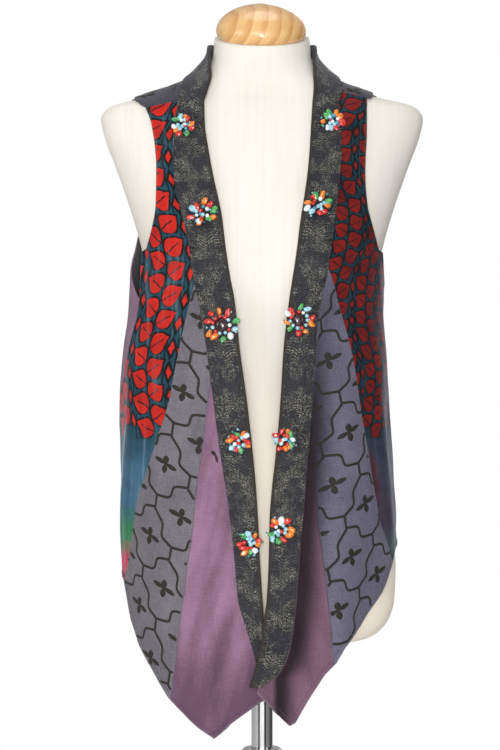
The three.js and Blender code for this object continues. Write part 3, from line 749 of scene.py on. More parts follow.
class Nodes:
    """Adds nodes to a tree."""

    def __init__(self, tree):
        self.tree = tree

    def node(self, kind, output=0, settings=None, **inputs):
        node = self.tree.nodes.new(kind)
        for name, value in (settings or {}).items():
            setattr(node, name, value)
        for name, value in inputs.items():
            put(self.tree, node.inputs[name.replace("_", " ")], value)
        return Wire(self.tree, node.outputs[output])

    def attribute(self, name="cloth"):
        return self.split(self.node("ShaderNodeAttribute", "Vector", {"attribute_name": name}))

    def split(self, vector):
        node = self.tree.nodes.new("ShaderNodeSeparateXYZ")
        put(self.tree, node.inputs[0], vector)
        return [Wire(self.tree, out) for out in node.outputs]

    def vector(self, x, y, z=0.0):
        return self.node("ShaderNodeCombineXYZ", X=x, Y=y, Z=z)

    def place(self):
        """The point on the object, in millimetres."""
        return self.node("ShaderNodeVectorMath", 0, {"operation": "SCALE"},
                         Vector=self.node("ShaderNodeTexCoord", "Object"), Scale=1000.0)

    def noise(self, vector, scale, detail=2.0, roughness=0.5, distortion=0.0):
        return self.node("ShaderNodeTexNoise", "Fac", Vector=vector, Scale=scale, Detail=detail,
                         Roughness=roughness, Distortion=distortion)

    def cells(self, vector, scale):
        return self.node("ShaderNodeTexVoronoi", "Distance", Vector=vector, Scale=scale)

    def blend(self, share, first, second):
        """A colour between two."""
        node = self.tree.nodes.new("ShaderNodeMix")
        node.data_type = "RGBA"
        node.clamp_factor = True
        for k, value in ((0, share), (6, first), (7, second)):
            put(self.tree, node.inputs[k], value)
        return Wire(self.tree, node.outputs[2])

    def seen(self):
        """1 where the camera looks straight at a surface, 0 in what lights and mirrors see of it."""
        return self.node("ShaderNodeLightPath", "Is Camera Ray")


class Paint(Nodes):
    """Builds one material."""

    def __init__(self, name):
        self.material = bpy.data.materials.new(name)
        self.material.use_nodes = True
        super().__init__(self.material.node_tree)
        self.tree.nodes.clear()
        self.output = self.tree.nodes.new("ShaderNodeOutputMaterial")
        self.shader = self.tree.nodes.new("ShaderNodeBsdfPrincipled")
        self.tree.links.new(self.shader.outputs[0], self.output.inputs["Surface"])

    def set(self, colour, rough, gloss=0.5, **inputs):
        """The shader's own values. Gloss is its specular level."""
        inputs.update(Base_Color=colour, Roughness=rough, Specular_IOR_Level=gloss)
        for name, value in inputs.items():
            put(self.tree, self.shader.inputs[name.replace("_", " ")], value)

    def bump(self, height, distance=0.3, strength=1.0):
        """Height in millimetres times the distance, as a bump."""
        normal = self.node("ShaderNodeBump", Height=height, Strength=strength, Distance=distance / 1000)
        put(self.tree, self.shader.inputs["Normal"], normal)


TURN = 2 * math.pi


def threads(paint, u, v, pitch, slant=0.0):
    """A weave: how high its threads stand, and how uneven they are, each from 0 to 1."""
    turn = math.pi / pitch
    over = ((u + v * slant) * turn).sin() * ((v - u * slant) * turn).sin() * 0.5 + 0.5
    warp = paint.noise(paint.vector(u * (0.9 / pitch), v * 0.07), 1.0, 1.0)
    weft = paint.noise(paint.vector(u * 0.07, v * (0.9 / pitch), 7.0), 1.0, 1.0)
    return over, warp * 0.5 + weft * 0.5


def soil(paint, u, v, size=60.0):
    """Slow drift of shade over a cloth that has been worn and pressed."""
    return paint.noise(paint.vector(u / size, v / size, 3.0), 1.0, 3.0, 0.6)


def garlands(u, v, end):
    """Leaves in turn up wavy stems with lozenges between them: masks of the fill and of the dark outline."""
    wide, tall = 66.0, 28.0  # from stem to stem, and from leaf to leaf
    sway, slope, length, fullness = 13, math.radians(30), 29.0, 12.6
    x = (u + (v * (TURN / 260)).sin() * sway).fold(wide)
    climb = v + x.above(0.0) * (tall / 2)
    y, x = climb.fold(tall), x.abs()
    c, s = math.cos(slope), math.sin(slope)
    px, py = x - 1.8, y + 7.4
    along = (px * c + py * s) / length
    across = (py * c - px * s).abs()
    leaf = (along * (1 - along)) * (1.5 - along) * (4 * fullness) - across
    between = (x - wide / 2).abs()
    lozenge = 4.0 - between * 0.8 - (v + tall / 4).fold(tall).abs() * 0.4
    row = (climb / tall + 0.5).floor() * tall
    kept = row.above(end)
    shape = leaf.high(lozenge) * kept + (kept - 1) * 9
    fill = shape.step(0.7, 1.3)
    vein = (0.85 - across).step(-0.3, 0.3) * (0.72 - along).step(-0.04, 0.04) * fill
    stem = (1.0 - x).step(-0.3, 0.3) * kept
    rail = (0.9 - (between - 7.2).abs()).step(-0.3, 0.3) * kept
    return fill * (1 - vein), shape.step(-2.3, -1.7).high(stem).high(rail)


def velvet(name, end, lower, reds, painted_side_shade=0.0, size=1.0, painted_crease=None, blush=None):
    """Printed velvet. The design ends at a height, and below it the dye runs from colour to colour.

    Each lower colour has the heights between which it comes in. A painted crease is where a painted highlight
    runs, as a distance from the side seam.
    """
    paint = Paint(name)
    u, v, edge = paint.attribute()
    wander = paint.noise(paint.vector(u * 0.11, v * 0.11), 1.0, 2.0) - 0.5
    sway = paint.noise(paint.vector(u * 0.028, v * 0.028, 8.0), 1.0, 2.0) - 0.5
    du, dv = u + wander * 2.2 + sway * 10, v + wander * 2.2 - sway * 9
    fill, outline = garlands(du * (1 / size), dv * (1 / size), end / size)
    drift = soil(paint, u, v, 38.0)
    ground = paint.blend(drift, "183C4A", "27566A")
    for top, bottom, colour in lower:
        ground = paint.blend((v + wander * 30).step(top, bottom), ground, colour)
    if blush:
        # Red dye that has run beside the seam
        run = (u + v * 0.19 - 254 + wander * 20).step(19, 5) * v.step(562, 590) * v.step(636, 612)
        ground = paint.blend(run * 0.85, ground, blush)
    red = paint.blend(drift.step(0.3, 0.75), reds[0], reds[1])
    colour = paint.blend(outline, ground, "16191C")
    colour = paint.blend(fill, colour, red)
    # Pile that leans this way and that, and lies flatter where it has been rubbed
    pile = paint.noise(paint.vector(u * 0.9, v * 0.35), 1.0, 3.0, 0.6)
    lean = paint.noise(paint.vector(u * 0.02, v * 0.05, 5.0), 1.0, 2.0)
    # The painted side shade darkens the whole panel, along with the pile's leaning
    colour = paint.blend(lean.step(0.35, 0.75) * 0.25 + painted_side_shade, colour, "0B0F14")
    colour = paint.blend(pile * 0.30, colour, "060608")
    # Painted sheen: pale upright streaks where the pile would catch the light, fainter on the print and on a
    # shaded panel, and darker streaks between them
    streak = paint.noise(paint.vector(u * 0.075, v * 0.008, 2.0), 1.0, 3.0, 0.6)
    light = streak.step(0.50, 0.80) * (0.42 - fill * 0.34) * (1 - painted_side_shade * 2.2)
    colour = paint.blend(light, colour, "8FB0C0")
    colour = paint.blend(streak.step(0.48, 0.25) * 0.35, colour, "0B1016")
    if painted_crease:
        # Painted highlight beside the side seam, where a pressed crease would catch the light
        bend = paint.noise(paint.vector(v * 0.012, 3.0), 1.0, 2.0) * 18
        line = (edge - painted_crease - bend).abs().step(4.5, 2.0) * v.step(556, 572) * v.step(668, 650)
        colour = paint.blend(line * 0.55, colour, "A9C6D2")
    rubbed = (1 - edge.step(0.3, 3.2)) * pile
    colour = paint.blend(rubbed * 0.35, colour, "8E8A86")
    paint.set(colour, 0.82, 0.2, Sheen_Weight=0.28, Sheen_Roughness=0.32, Sheen_Tint=(0.75, 0.82, 0.95, 1))
    grain = paint.noise(paint.vector(u, v), 2.2, 2.0)
    paint.bump(grain + outline * -0.35, 0.22, 0.7)
    return paint.material


def cloth(name, light, dark, pitch, sheen=0.15, slant=0.0, flecks=None, grain=0.4, foot=0.0, folded=0.15,
          seed=5.0):
    """A woven cloth of two shades of thread.

    Grain is the unevenness of its fibres, folded the painted light and shade of its creases, foot the painted
    shade low down.
    """
    paint = Paint(name)
    u, v, edge = paint.attribute()
    over, uneven = threads(paint, u, v, pitch, slant)
    drift = soil(paint, u, v)
    shade = over * 0.34 + uneven.step(0.32, 0.68) * 0.28 + 0.09 + drift.step(0.3, 0.7) * 0.24
    fibre = paint.noise(paint.vector(u * 0.6 + v * slant * 2, v * 0.6 - u * slant * 2, 2.0), 1.0, 3.0, 0.75)
    # Painted light and shade of soft creases: slanting noise that lightens and darkens the cloth by the
    # folded amount
    painted_crease = paint.noise(paint.vector((u + v * 0.25) * 0.032, v * 0.007, seed), 1.0, 2.0)
    shade = shade + (fibre.step(0.32, 0.68) - 0.5) * grain + (painted_crease.step(0.30, 0.70) - 0.5) * folded
    # Painted shade: darker towards the hem, below 430 mm, by the foot amount
    shade = shade - v.step(430, 330) * foot
    colour = paint.blend(shade, dark, light)
    if flecks:
        fleck = paint.noise(paint.vector(u * 0.5, v * 1.3, 9.0), 1.0, 2.0)
        colour = paint.blend(fleck.step(0.60, 0.74) * 0.55, colour, flecks)
    worn = (1 - edge.step(0.2, 2.6)) * uneven
    colour = paint.blend(worn * 0.4, colour, "C9C2C6")
    # Painted shade in the valley beside the band and in the deeper folds, from the depth each point was given
    deep = paint.node("ShaderNodeAttribute", "Fac", {"attribute_name": "deep"})
    colour = paint.blend(deep.step(0.0, 0.9) * 0.88, colour, "150F13")
    paint.set(colour, 0.88, 0.25, Sheen_Weight=sheen, Sheen_Roughness=0.5)
    paint.bump(over * 0.7 + uneven * 0.8, 0.28, 0.75)
    return paint.material


REPEAT = 125.0  # the band's pattern, from one rosette to the next


def brocade():
    """Navy cloth with worn metallic threads: scalloped rings round the rosettes and sprays between them."""
    paint = Paint("band brocade")
    s, phase, width = paint.attribute()
    jitter = paint.noise(paint.vector(s * 0.16, phase * 0.16), 1.0, 3.0, 0.7) - 0.5
    a, b = s + jitter * 7, phase + jitter * 7
    near = b.fold(REPEAT)
    r, theta = (a * a + near * near).root(), a.atan2(near)
    scallop = (theta * 5).sin().abs() * 3.2
    ring = (r + scallop - 23.0).abs().step(3.4, 1.2)
    ring = ring.high((r + scallop * 1.6 - 33.5).abs().step(3.0, 1.0) * 0.8)
    # Sprays: petals and curling leaves, halfway between the rosettes
    far = (b + REPEAT / 2).fold(REPEAT)
    q, phi = (a * a + far * far).root(), a.atan2(far)
    petal = (phi * 2.5).sin().abs() * 10.5 + 3.6
    spray = (q - petal).step(1.6, -1.2) * (q - petal * 0.45).step(-1.0, 1.2)
    curl = ((far / 7.5).sin() * 8.5 - a).abs().step(3.0, 0.8) * (q - 12).step(0, 3)
    spray = spray.high(curl * 0.8)
    d1, d2 = (s + phase).fold(9.0).abs(), (s - phase).fold(9.0).abs()
    diaper = d1.low(d2).step(1.4, 0.4) * (r - 34).step(0, 6) * 0.4
    pattern = ring.high(spray).high(diaper)
    # Worn metallic thread: broken lines that follow the rings and petals, and stray curls between them
    breaks = paint.noise(paint.vector(s * 0.8, phase * 0.8), 1.0, 3.0, 0.8).step(0.45, 0.58)
    ripple = r + scallop * 1.3 + jitter * 6
    around = (ripple * (math.pi / 3.3)).sin().abs().step(0.62, 0.30) * (ripple - 31).abs().step(15, 6)
    leafy = ((q + petal * -1.35 + jitter * 5) * (math.pi / 3.0)).sin().abs().step(0.62, 0.30) * q.step(27, 19)
    curled = paint.noise(paint.vector(s * 0.21, phase * 0.21, 6.0), 1.0, 2.0, 0.6)
    curls = (curled - 0.5).abs().step(0.035, 0.012)
    drift = soil(paint, s, phase, 22.0)
    metal = around.high(leafy).high(curls * 0.8) * breaks
    worn = paint.noise(paint.vector(s * 0.055, phase * 0.045, 11.0), 1.0, 3.0, 0.6).step(0.42, 0.58)
    metal = metal * (worn * 0.85 + 0.15)
    over, uneven = threads(paint, s, phase, 1.3)
    ground = paint.blend(uneven.step(0.25, 0.75) * 0.65 + over * 0.3, "0B0B10", "252435")
    olive = paint.blend(uneven.step(0.3, 0.7), "0D0C09", "292721")
    ground = paint.blend((pattern * 0.3).high(worn * 0.75), ground, olive)
    ground = paint.blend(phase.step(520, 620) * 0.4, ground, "5C5A68")
    bright = paint.blend(uneven.step(0.3, 0.7), "8A897C", "DAD8CB")
    colour = paint.blend(metal * 0.78, ground, bright)
    # Painted shade along the band's free edge, where its turned edge would lie in shadow
    free = (s + width / 2).step(4.6, 2.2)
    colour = paint.blend(free * 0.85, colour, "2A2318")
    paint.set(colour, 0.72, 0.35, Sheen_Weight=0.08, Sheen_Roughness=0.5)
    paint.bump(over * 0.5 + uneven * 0.6 + pattern * 0.4 + metal * 0.6, 0.3, 0.8)
    return paint.material


def thread(name, light, dark, sheen=0.2):
    """Thread laid side by side, as in satin stitch."""
    paint = Paint(name)
    along, across, wide = paint.attribute()
    strand = (along * (TURN / 0.75) + across * 1.5).sin() * 0.5 + 0.5
    uneven = paint.noise(paint.vector(along * 0.8, across, wide), 1.0, 2.0)
    slow = paint.noise(paint.vector(along * 0.05, wide * 0.3), 1.0, 2.0)
    colour = paint.blend(strand * 0.45 + uneven * 0.35 + slow * 0.25, dark, light)
    paint.set(colour, 0.68, 0.3, Sheen_Weight=sheen, Sheen_Roughness=0.4)
    paint.bump(strand + uneven * 0.5, 0.12, 0.8)
    return paint.material


def jersey():
    """Cream knit drawn over the form: fine upright wales, faintly pulled and soiled."""
    paint = Paint("cream jersey")
    u, v, _ = paint.attribute()
    wale = (u * (TURN / 1.1)).sin() * 0.5 + 0.5
    course = ((v + (u * (TURN / 1.1)).sin() * 0.3) * (TURN / 0.9)).sin() * 0.5 + 0.5
    pulled = paint.noise(paint.vector(u * 0.22, v * 0.008), 1.0, 3.0)
    drift = soil(paint, u, v, 120.0)
    colour = paint.blend(pulled.step(0.3, 0.75) * 0.55 + wale * 0.2, "EEEAE2", "E6E0D4")
    colour = paint.blend(drift.step(0.45, 0.8) * 0.4, colour, "DFD7C6")
    # Painted light: the knit is lighter below the chest, where the gilet's open front shades the form
    colour = paint.blend(v.step(800, 600) * 0.9, colour, "FFF5E2")
    paint.set(colour, 0.9, 0.2, Sheen_Weight=0.15, Sheen_Roughness=0.6)
    paint.bump(wale * 0.6 + course * 0.4 + pulled * 0.8, 0.16, 0.6)
    return paint.material


def wood():
    """Pale turned birch under varnish, its growth rings cut at a slant."""
    paint = Paint("varnished birch")
    x, y, z = paint.split(paint.place())
    warp = paint.noise(paint.vector(x * 0.02, y * 0.03, z * 0.02), 1.0, 2.0)
    slant = x * 0.93 - z * 0.36 + y * 0.3 + (warp - 0.5) * 12
    ring = slant / 16.0
    saw = ring - ring.floor()
    late = saw.step(0.3, 0.96) * saw.step(1.0, 0.96)
    fine = paint.noise(paint.vector(slant * 1.3, z * 0.05, y * 0.1), 1.0, 3.0, 0.65)
    pores = paint.noise(paint.vector(slant * 2.4, z * 0.12, y * 0.4), 1.0, 1.0)
    colour = paint.blend(late * 0.5 + fine.step(0.3, 0.7) * 0.4, "F1C688", "CC8A46")
    colour = paint.blend(pores.step(0.66, 0.74) * 0.3, colour, "A86A34")
    paint.set(colour, 0.38, Coat_Weight=0.55, Coat_Roughness=0.12)
    paint.bump(fine * 0.5 + pores * 0.3, 0.06, 0.4)
    return paint.material


def chrome():
    """Plated steel with faint polishing lines and fingermarks."""
    paint = Paint("chrome plate")
    x, y, z = paint.split(paint.place())
    lines = paint.noise(paint.vector(x * 0.05, y * 0.05, z * 2.5), 1.0, 2.0)
    marks = paint.noise(paint.vector(x * 0.03, y * 0.03, z * 0.03), 1.0, 4.0, 0.6)
    colour = paint.blend(marks.step(0.3, 0.8), "D6D7D9", "CBCCCE")
    paint.set(colour, lines * 0.05 + marks.step(0.45, 0.85) * 0.05 + 0.1, Metallic=1.0)
    paint.bump(lines, 0.01, 0.2)
    return paint.material


def bead(name, colour, dark, rough=0.22):
    """Glass and stone beads, each a little streaked."""
    paint = Paint("bead " + name)
    place = paint.place()
    streak = paint.noise(place, 0.35, 3.0, 0.6, 0.6)
    speck = paint.cells(place, 0.9)
    shade = paint.blend(streak.step(0.35, 0.72), colour, dark)
    shade = paint.blend(speck.step(0.32, 0.1) * 0.25, shade, "FFFFFF")
    paint.set(shade, rough, 0.55, Coat_Weight=0.5, Coat_Roughness=0.1)
    paint.bump(streak, 0.1, 0.4)
    return paint.material


def felt():
    """Dark felt under the beads."""
    paint = Paint("felt backing")
    place = paint.place()
    hair = paint.noise(place, 1.6, 3.0, 0.7)
    paint.set(paint.blend(hair, "0F0F14", "26262E"), 0.9, Sheen_Weight=0.1)
    paint.bump(hair, 0.2, 0.6)
    return paint.material


PRINTS = {
    "right": velvet("velvet print right", 668, [(655, 600, "446F8A"), (572, 535, "3A8558"),
                                                (528, 496, "DC4468"), (492, 474, "563A4C")],
                    ("CF2318", "E2301F"), painted_crease=44.0),
    # The left print has darker reds and painted side shade: a shaded copy of the same velvet, on the side
    # turned from the light
    "left": velvet("velvet print left", 655, [(658, 625, "4D526A"), (600, 566, "57485F"),
                                              (545, 515, "58736F")],
                   ("9A1B16", "B8281D"), 0.38, 0.72, blush="7C3844"),
}
PRINT_BACK = cloth("print reverse", "5A5A66", "34343E", 0.8)
LATTICES = {
    "right": cloth("twill right", "817C84", "4B4850", 1.25, flecks="98949A"),
    "left": cloth("twill left", "757286", "444254", 1.25, flecks="8F8C9E"),
}
# The yoke is the fronts' lattice twill made darker: painted shade on the shoulders
YOKE = cloth("twill yoke", "53515C", "26252D", 1.25, flecks="7A7886")
LATTICE_BACK = cloth("twill reverse", "5C5A6C", "3E3C4C", 1.0)


def plum(name, light="98758F", dark="614659", sheen=0.12, **more):
    return cloth("plum wool " + name, light, dark, 0.8, sheen, 0.12, grain=0.3, **more)


# The left front's plum is a darker copy of the same cloth: painted shade on the side turned from the light
PLUMS = {
    "right": plum("right", "9C7893", "62465B", foot=0.6, folded=0.6),
    "left": plum("left", "876579", "553E4C", 0.08, folded=0.4),
    "back_right": plum("back right"),
    "back_left": plum("back left", seed=9.0),
}
PLUM_BACK = cloth("plum reverse", "6F6674", "453F4B", 0.9)
BROCADE = brocade()
EMBROIDERY = thread("olive embroidery", "35322A", "13120E", 0.08)
THREAD = thread("plum thread", "6F4F68", "3F2B3B")
THREAD_DARK = thread("dark thread", "24414E", "10181E")
THREAD_GREY = thread("grey thread", "5C586E", "35323F")
JERSEY, WOOD, CHROME = jersey(), wood(), chrome()
BEADS = [bead(*row.split()) for row in (
    "red DE2A1A B01610", "orange F58A12 D8640C", "green 58B964 2A7540", "white F2F6F4 CFE4EA",
    "blue B2DCEA 74B6CE")]
BEADS += [bead("maroon", "3A1420", "180810", 0.12), felt(), bead("turquoise", "4FA9C4", "2A6E8C")]
RED, ORANGE, GREEN, WHITE, BLUE, MAROON, BACKING, TURQUOISE = range(len(BEADS))


# Cut pieces of the gilet


STITCHED = 5.6  # from a hem's fold to its stitching
FAR = 99.0  # stands for no folded edge near
DEEP_VALLEY, DEEP_FOLD = 17, 8  # depths at which the cloth lies in full shade


def cut_piece(name, side, panel, columns, rows, materials, slot, folded):
    """One cut panel. Its seams end in a rounded groove, and its folded edges are hems."""
    angle, z = with_rims(panel_grid(side, **panel, shares=columns, rows=rows))
    points, normals = on_surface(side, hung_radius, angle, z)
    inner, outer = distance_in(points, 1)
    top, hem = distance_in(points, 0)
    edges = {"inner": inner, "outer": outer, "top": top, "hem": hem}
    high = -sum(rounded_edge(d, 1.1) for d in edges.values())
    for d in (edges[edge] for edge in folded):
        # A hem is a little thicker than the cloth, and draws in at its stitching
        high = high + 0.45 * ease((7.5 - d) / 2.5) - 0.4 * np.exp(-(((d - STITCHED) / 1.8) ** 2))
    low = -CLOTH + 0.4 * sum(rounded_edge(d, 0.8) for d in edges.values())
    u = arc_length(side, angle, z)
    hem_distance = np.minimum.reduce([edges[edge] for edge in folded])
    piece = shell("panel_" + name, points, normals, low, high, np.stack([u, z, hem_distance], -1), materials)
    # How deep in a fold each point lies, which the material turns into painted shade
    out = rest_radius(side, angle, z) * np.sin(np.radians(angle))
    fold = np.clip(fold_depth(side, angle, z), 0, DEEP_FOLD) / DEEP_FOLD
    painted_fold_shade = np.where(angle < 90, valley_depth(side, out, z), 0) / DEEP_VALLEY + 0.25 * fold
    give(piece, np.tile(np.clip(painted_fold_shade, 0, 1).ravel(), 2), "deep", "FLOAT", "value")
    return keep(piece, slot, name), (angle, z, points, normals, u)


pieces = {}
for half, side in SIDES.items():
    tip_z = hem_at(side)(side["point"])
    inner, outer = side["seam_angle"](tip_z), side["plum_angle"](tip_z)
    tip = float((side["point"] - inner) / (outer - inner))
    plum_columns = np.concatenate([spread(24) * tip, mix(tip, 1, spread(24))[1:]])
    for start, panel, columns, rows, face, back, slot, folded in (
            ("front_print_", print_panel, spread(60), spread(190, 1.1), PRINTS[half], PRINT_BACK,
             "print", ("outer", "hem")),
            ("front_lattice_", lattice_panel, spread(50), spread(150), LATTICES[half], LATTICE_BACK,
             "lattice", ("hem",)),
            ("front_plum_", plum_panel, plum_columns, spread(130), PLUMS[half], PLUM_BACK,
             "plum", ("hem",)),
            ("back_", back_panel, spread(90), spread(150), PLUMS["back_" + half], PLUM_BACK,
             "plum", ("hem",))):
        pieces[start + half] = cut_piece(start + half, side, panel(side), columns, rows, [face, back], slot,
                                         folded)

# The yoke, from one front shoulder seam over the shoulders to the other

halves = []
for half, side in SIDES.items():
    rows = side["yoke"]
    grid = strip_grid(dict(inner_angle=rows["neck_angle"], inner_z=rows["neck_z"] + SEAM,
                           outer_angle=rows["arm_angle"], outer_z=rows["arm_z"] + SEAM), 10, spread(80))
    points, normals = on_surface(side, hung_radius, *grid)
    u = side["sign"] * arc_length(side, *grid)
    halves.append((points, normals, u, grid[1]))
joined = [np.concatenate([a, b[::-1][1:]]) for a, b in zip(*halves)]
points, normals, u, z = joined
ends = [distance_in(points, 0), distance_in(points, 1)]
drop = sum(rounded_edge(d, 0.8) for pair in ends for d in pair)
yoke = shell("panel_yoke", points, normals, -CLOTH, -drop, np.stack([u, z, np.full(u.shape, FAR)], -1),
             [YOKE, LATTICE_BACK])
pieces["yoke"] = (keep(yoke, "lattice", "yoke"), (None, z, points, normals, u))

# Bands down the fronts and round the neck

BAND_EDGES = {
    "inner_angle": np.minimum(NECK_BAND["edge_angle"], 180 - SEAM / 2), "inner_z": NECK_BAND["edge_z"],
    "outer_angle": np.minimum(NECK_BAND["seam_angle"], 180 - SEAM / 2), "outer_z": NECK_BAND["seam_z"]}

for half, side in SIDES.items():
    z = np.linspace(side["band_foot"], side["lines"]["z"][-1], 260)
    front = dict(inner_angle=side["edge_angle"](z), outer_angle=side["band_angle"](z), inner_z=z, outer_z=z)
    neck = {key: np.concatenate([front[key][-1:], values]) for key, values in BAND_EDGES.items()}
    across = spread(24)
    lower = [mix(front["inner_" + key][:, None], front["outer_" + key][:, None], across)
             for key in ("angle", "z")]
    upper = strip_grid(neck, 18, across)
    angle, z = with_rims([np.concatenate([a, b[1:]]) for a, b in zip(lower, upper)])
    points, normals = on_surface(side, rest_radius, angle, z)
    across_mm, to_outer = distance_in(points, 1)
    along, to_end = distance_in(points, 0)
    middle = np.broadcast_to(along[:, along.shape[1] // 2][:, None], along.shape)
    width = across_mm + to_outer
    drop = sum(rounded_edge(d, 1.1) for d in (across_mm, to_outer, along, to_end))
    turned_in = 0.25 * ease((7 - across_mm) / 2) - 0.3 * np.exp(-(((across_mm - 6.5) / 1.4) ** 2))
    high = BAND["over"] - drop + turned_in
    # Where each rosette sits along the band, so that the pattern keeps its medallions round them
    centre = points[:, points.shape[1] // 2]
    stations = []
    for out, rz in zip(side["rosettes"]["out"], side["rosettes"]["z"]):
        gap = np.hypot(side["sign"] * out - centre[:, 0], rz - centre[:, 2])
        stations.append(along[np.argmin(gap), along.shape[1] // 2])
    known = np.sort(stations)
    beyond = 10 * REPEAT
    known = np.concatenate([[known[0] - beyond], known, [known[-1] + beyond]])
    counted = np.concatenate([[-10], np.arange(len(stations)), [len(stations) + 9]])
    phase = np.interp(middle, known, REPEAT * counted)
    cloth_at = np.stack([across_mm - width / 2, phase, width], -1)
    band = shell("panel_band_" + half, points, normals, BAND["under"], high, cloth_at, [BROCADE, PRINT_BACK])
    pieces["band_" + half] = (keep(band, "brocade", "band_" + half), (angle, z, points, normals, across_mm))

# Dress form


def closed_rings(name, rings, ends, material):
    """A solid round an axis: rings of points from the bottom up, and a point that closes it at each end."""
    at = np.arange(rings[..., 0].size).reshape(rings.shape[:2])
    after = np.roll(at, -1, axis=1)
    faces = np.stack([at[:-1], after[:-1], after[1:], at[1:]], -1).reshape(-1, 4).tolist()
    faces += [[at.size, b, a] for a, b in zip(at[0], after[0])]
    faces += [[at.size + 1, a, b] for a, b in zip(at[-1], after[-1])]
    return new_object(name, np.concatenate([rings.reshape(-1, 3), ends]), faces, [material])


FOOT_TOP, SHOULDER = 430, 1020  # heights at which the rings of the form change their step
heights = np.concatenate([np.linspace(FORM_BOTTOM, FOOT_TOP, 16), np.linspace(FOOT_TOP, SHOULDER, 150)[1:],
                          np.linspace(SHOULDER, NECK_TOP, 60)[1:]])
sides = 240
a, z = np.meshgrid(np.linspace(-180, 180, sides + 1)[:-1], heights)
skin = place(1, form_radius(a, z), a, z)
torso = closed_rings("dress_form", skin, [skin[0].mean(0), skin[-1].mean(0)], JERSEY)
around = distance_in(skin, 1)[0]
around = around - around[:, sides // 2, None]
ends = [[0, FORM_BOTTOM, 0], [0, NECK_TOP, 0]]
give(torso, np.concatenate([np.stack([around, z, 0 * z], -1).reshape(-1, 3), ends]))
keep(torso, "jersey", "form_torso")

CAP = {"radius": 55, "height": 41, "brim": 9, "lip": 4}
rise = np.linspace(0, math.pi / 2, 40)[:-1]
foot, full = CAP["radius"] - CAP["lip"], CAP["radius"]
dome = [(full * math.cos(t), CAP["brim"] + (CAP["height"] - CAP["brim"]) * math.sin(t)) for t in rise]
profile = np.array([(foot - 1, 0), (foot, 0.5), (full - 1.6, 3), (full - 0.5, 6), *dome])
lean = math.atan(NECK_LEAN)


def onto_neck(points):
    x, y, z = np.moveaxis(np.asarray(points, float), -1, 0)
    up = y * math.sin(lean) + z * math.cos(lean) + NECK_TOP + 0.9
    return np.stack([x, y * math.cos(lean) - z * math.sin(lean), up], -1)


turn = np.arange(128) * TURN / 128
reach, rise = profile[:, :1], profile[:, 1:]
rings = np.stack([reach * np.cos(turn), reach * np.sin(turn), rise + 0 * turn], -1)
cap = closed_rings("neck_cap", onto_neck(rings), onto_neck([(0, 0, 0), (0, 0, CAP["height"])]), WOOD)
keep(cap, "wood", "form_neck_cap")

# Embroidery, stitches and beads laid on the cloth

# A thread's section, in shares of its half width and its height
RIBBON = np.array([(-1, -0.6), (-0.82, 0.5), (0, 1), (0.82, 0.5), (1, -0.6)])


def ribbons(name, points, normals, counts, widths, height, material, lift=0.0):
    """Raised threads along lines on the cloth: a low rounded bar along each, closed at both ends."""
    starts = np.cumsum([0, *counts])
    tangent = np.empty_like(points)
    along = np.empty(len(points))
    for a, b in zip(starts[:-1], starts[1:]):
        tangent[a:b] = np.gradient(points[a:b], axis=0)
        along[a:b] = distance_in(points[a:b][:, None], 0)[0][:, 0]
    across = unit(np.cross(normals, unit(tangent)))
    sideways, upwards = RIBBON[:, 0][None, :, None], RIBBON[:, 1][None, :, None]
    ring = points[:, None] + across[:, None] * sideways * widths[:, None, None]
    ring = ring + normals[:, None] * (lift + upwards * height)
    k = len(RIBBON)
    faces = []
    for a, b in zip(starts[:-1], starts[1:]):
        at = np.arange(a * k, b * k).reshape(-1, k)
        following = np.roll(at, -1, axis=1)
        quads = np.stack([at[:-1], following[:-1], following[1:], at[1:]], -1).reshape(-1, 4)[:, ::-1]
        faces += quads.tolist() + [at[0].tolist(), at[-1][::-1].tolist()]
    piece = new_object(name, ring.reshape(-1, 3), faces, [material])
    give(piece, np.stack([along.repeat(k), np.tile(RIBBON[:, 0], len(points)), widths.repeat(k)], -1))
    return piece


def runs(line, inside, least=3):
    """The stretches of a line that lie inside."""
    changes = np.flatnonzero(np.diff(inside)) + 1
    parts = zip(np.split(line, changes), np.split(inside, changes))
    return [part for part, good in parts if good[0] and len(part) >= least]


def embroider(name, slot, found, on):
    """Threads of embroidery along lines with widths, laid on the cloth by a function of their two places."""
    first, second, widths = np.concatenate(found).T
    points, normals = on(first, second)
    piece = ribbons(name, points, normals, [len(line) for line in found], widths, 0.45, EMBROIDERY)
    pieces[name] = keep(piece, slot), None


def rounded(corners, spacing=1.1, cuts=(0.16, 0.22)):
    """A polyline with its corners cut off twice, sampled evenly."""
    line = np.asarray(corners, float)
    for cut in cuts:
        near, far = mix(line[:-1], line[1:], cut), mix(line[:-1], line[1:], 1 - cut)
        line = np.concatenate([line[:1], np.stack([near, far], 1).reshape(-1, 2), line[-1:]])
    length = np.concatenate([[0], np.cumsum(np.hypot(*np.diff(line, axis=0).T))])
    count = max(4, int(length[-1] / spacing) + 1)
    s = np.linspace(0, length[-1], count)
    return np.stack([np.interp(s, length, line[:, 0]), np.interp(s, length, line[:, 1])], -1)


# The trellis, in millimetres from a flower's centre: outwards and down
TRELLIS = {
    "across": (41, 22),
    "down": (-19, 61),
    "lines": [
        [(-27, 28), (-10, 26), (-6, 40), (12, 36)],
        [(34, -10), (22, 8), (25, 23), (12, 36)],
        [(12, 36), (14.5, 50)],
    ],
    # Each petal runs from the flower's heart to its tip, and has a half width
    "petals": [((0, 1.5), (-0.5, -9.5), 4.2), ((0.4, -0.4), (2.6, 11.0), 4.1), ((-1.0, 0.6), (15, -8.0), 2.9),
               ((1.0, -0.6), (-13.5, 8.2), 2.9)],
}


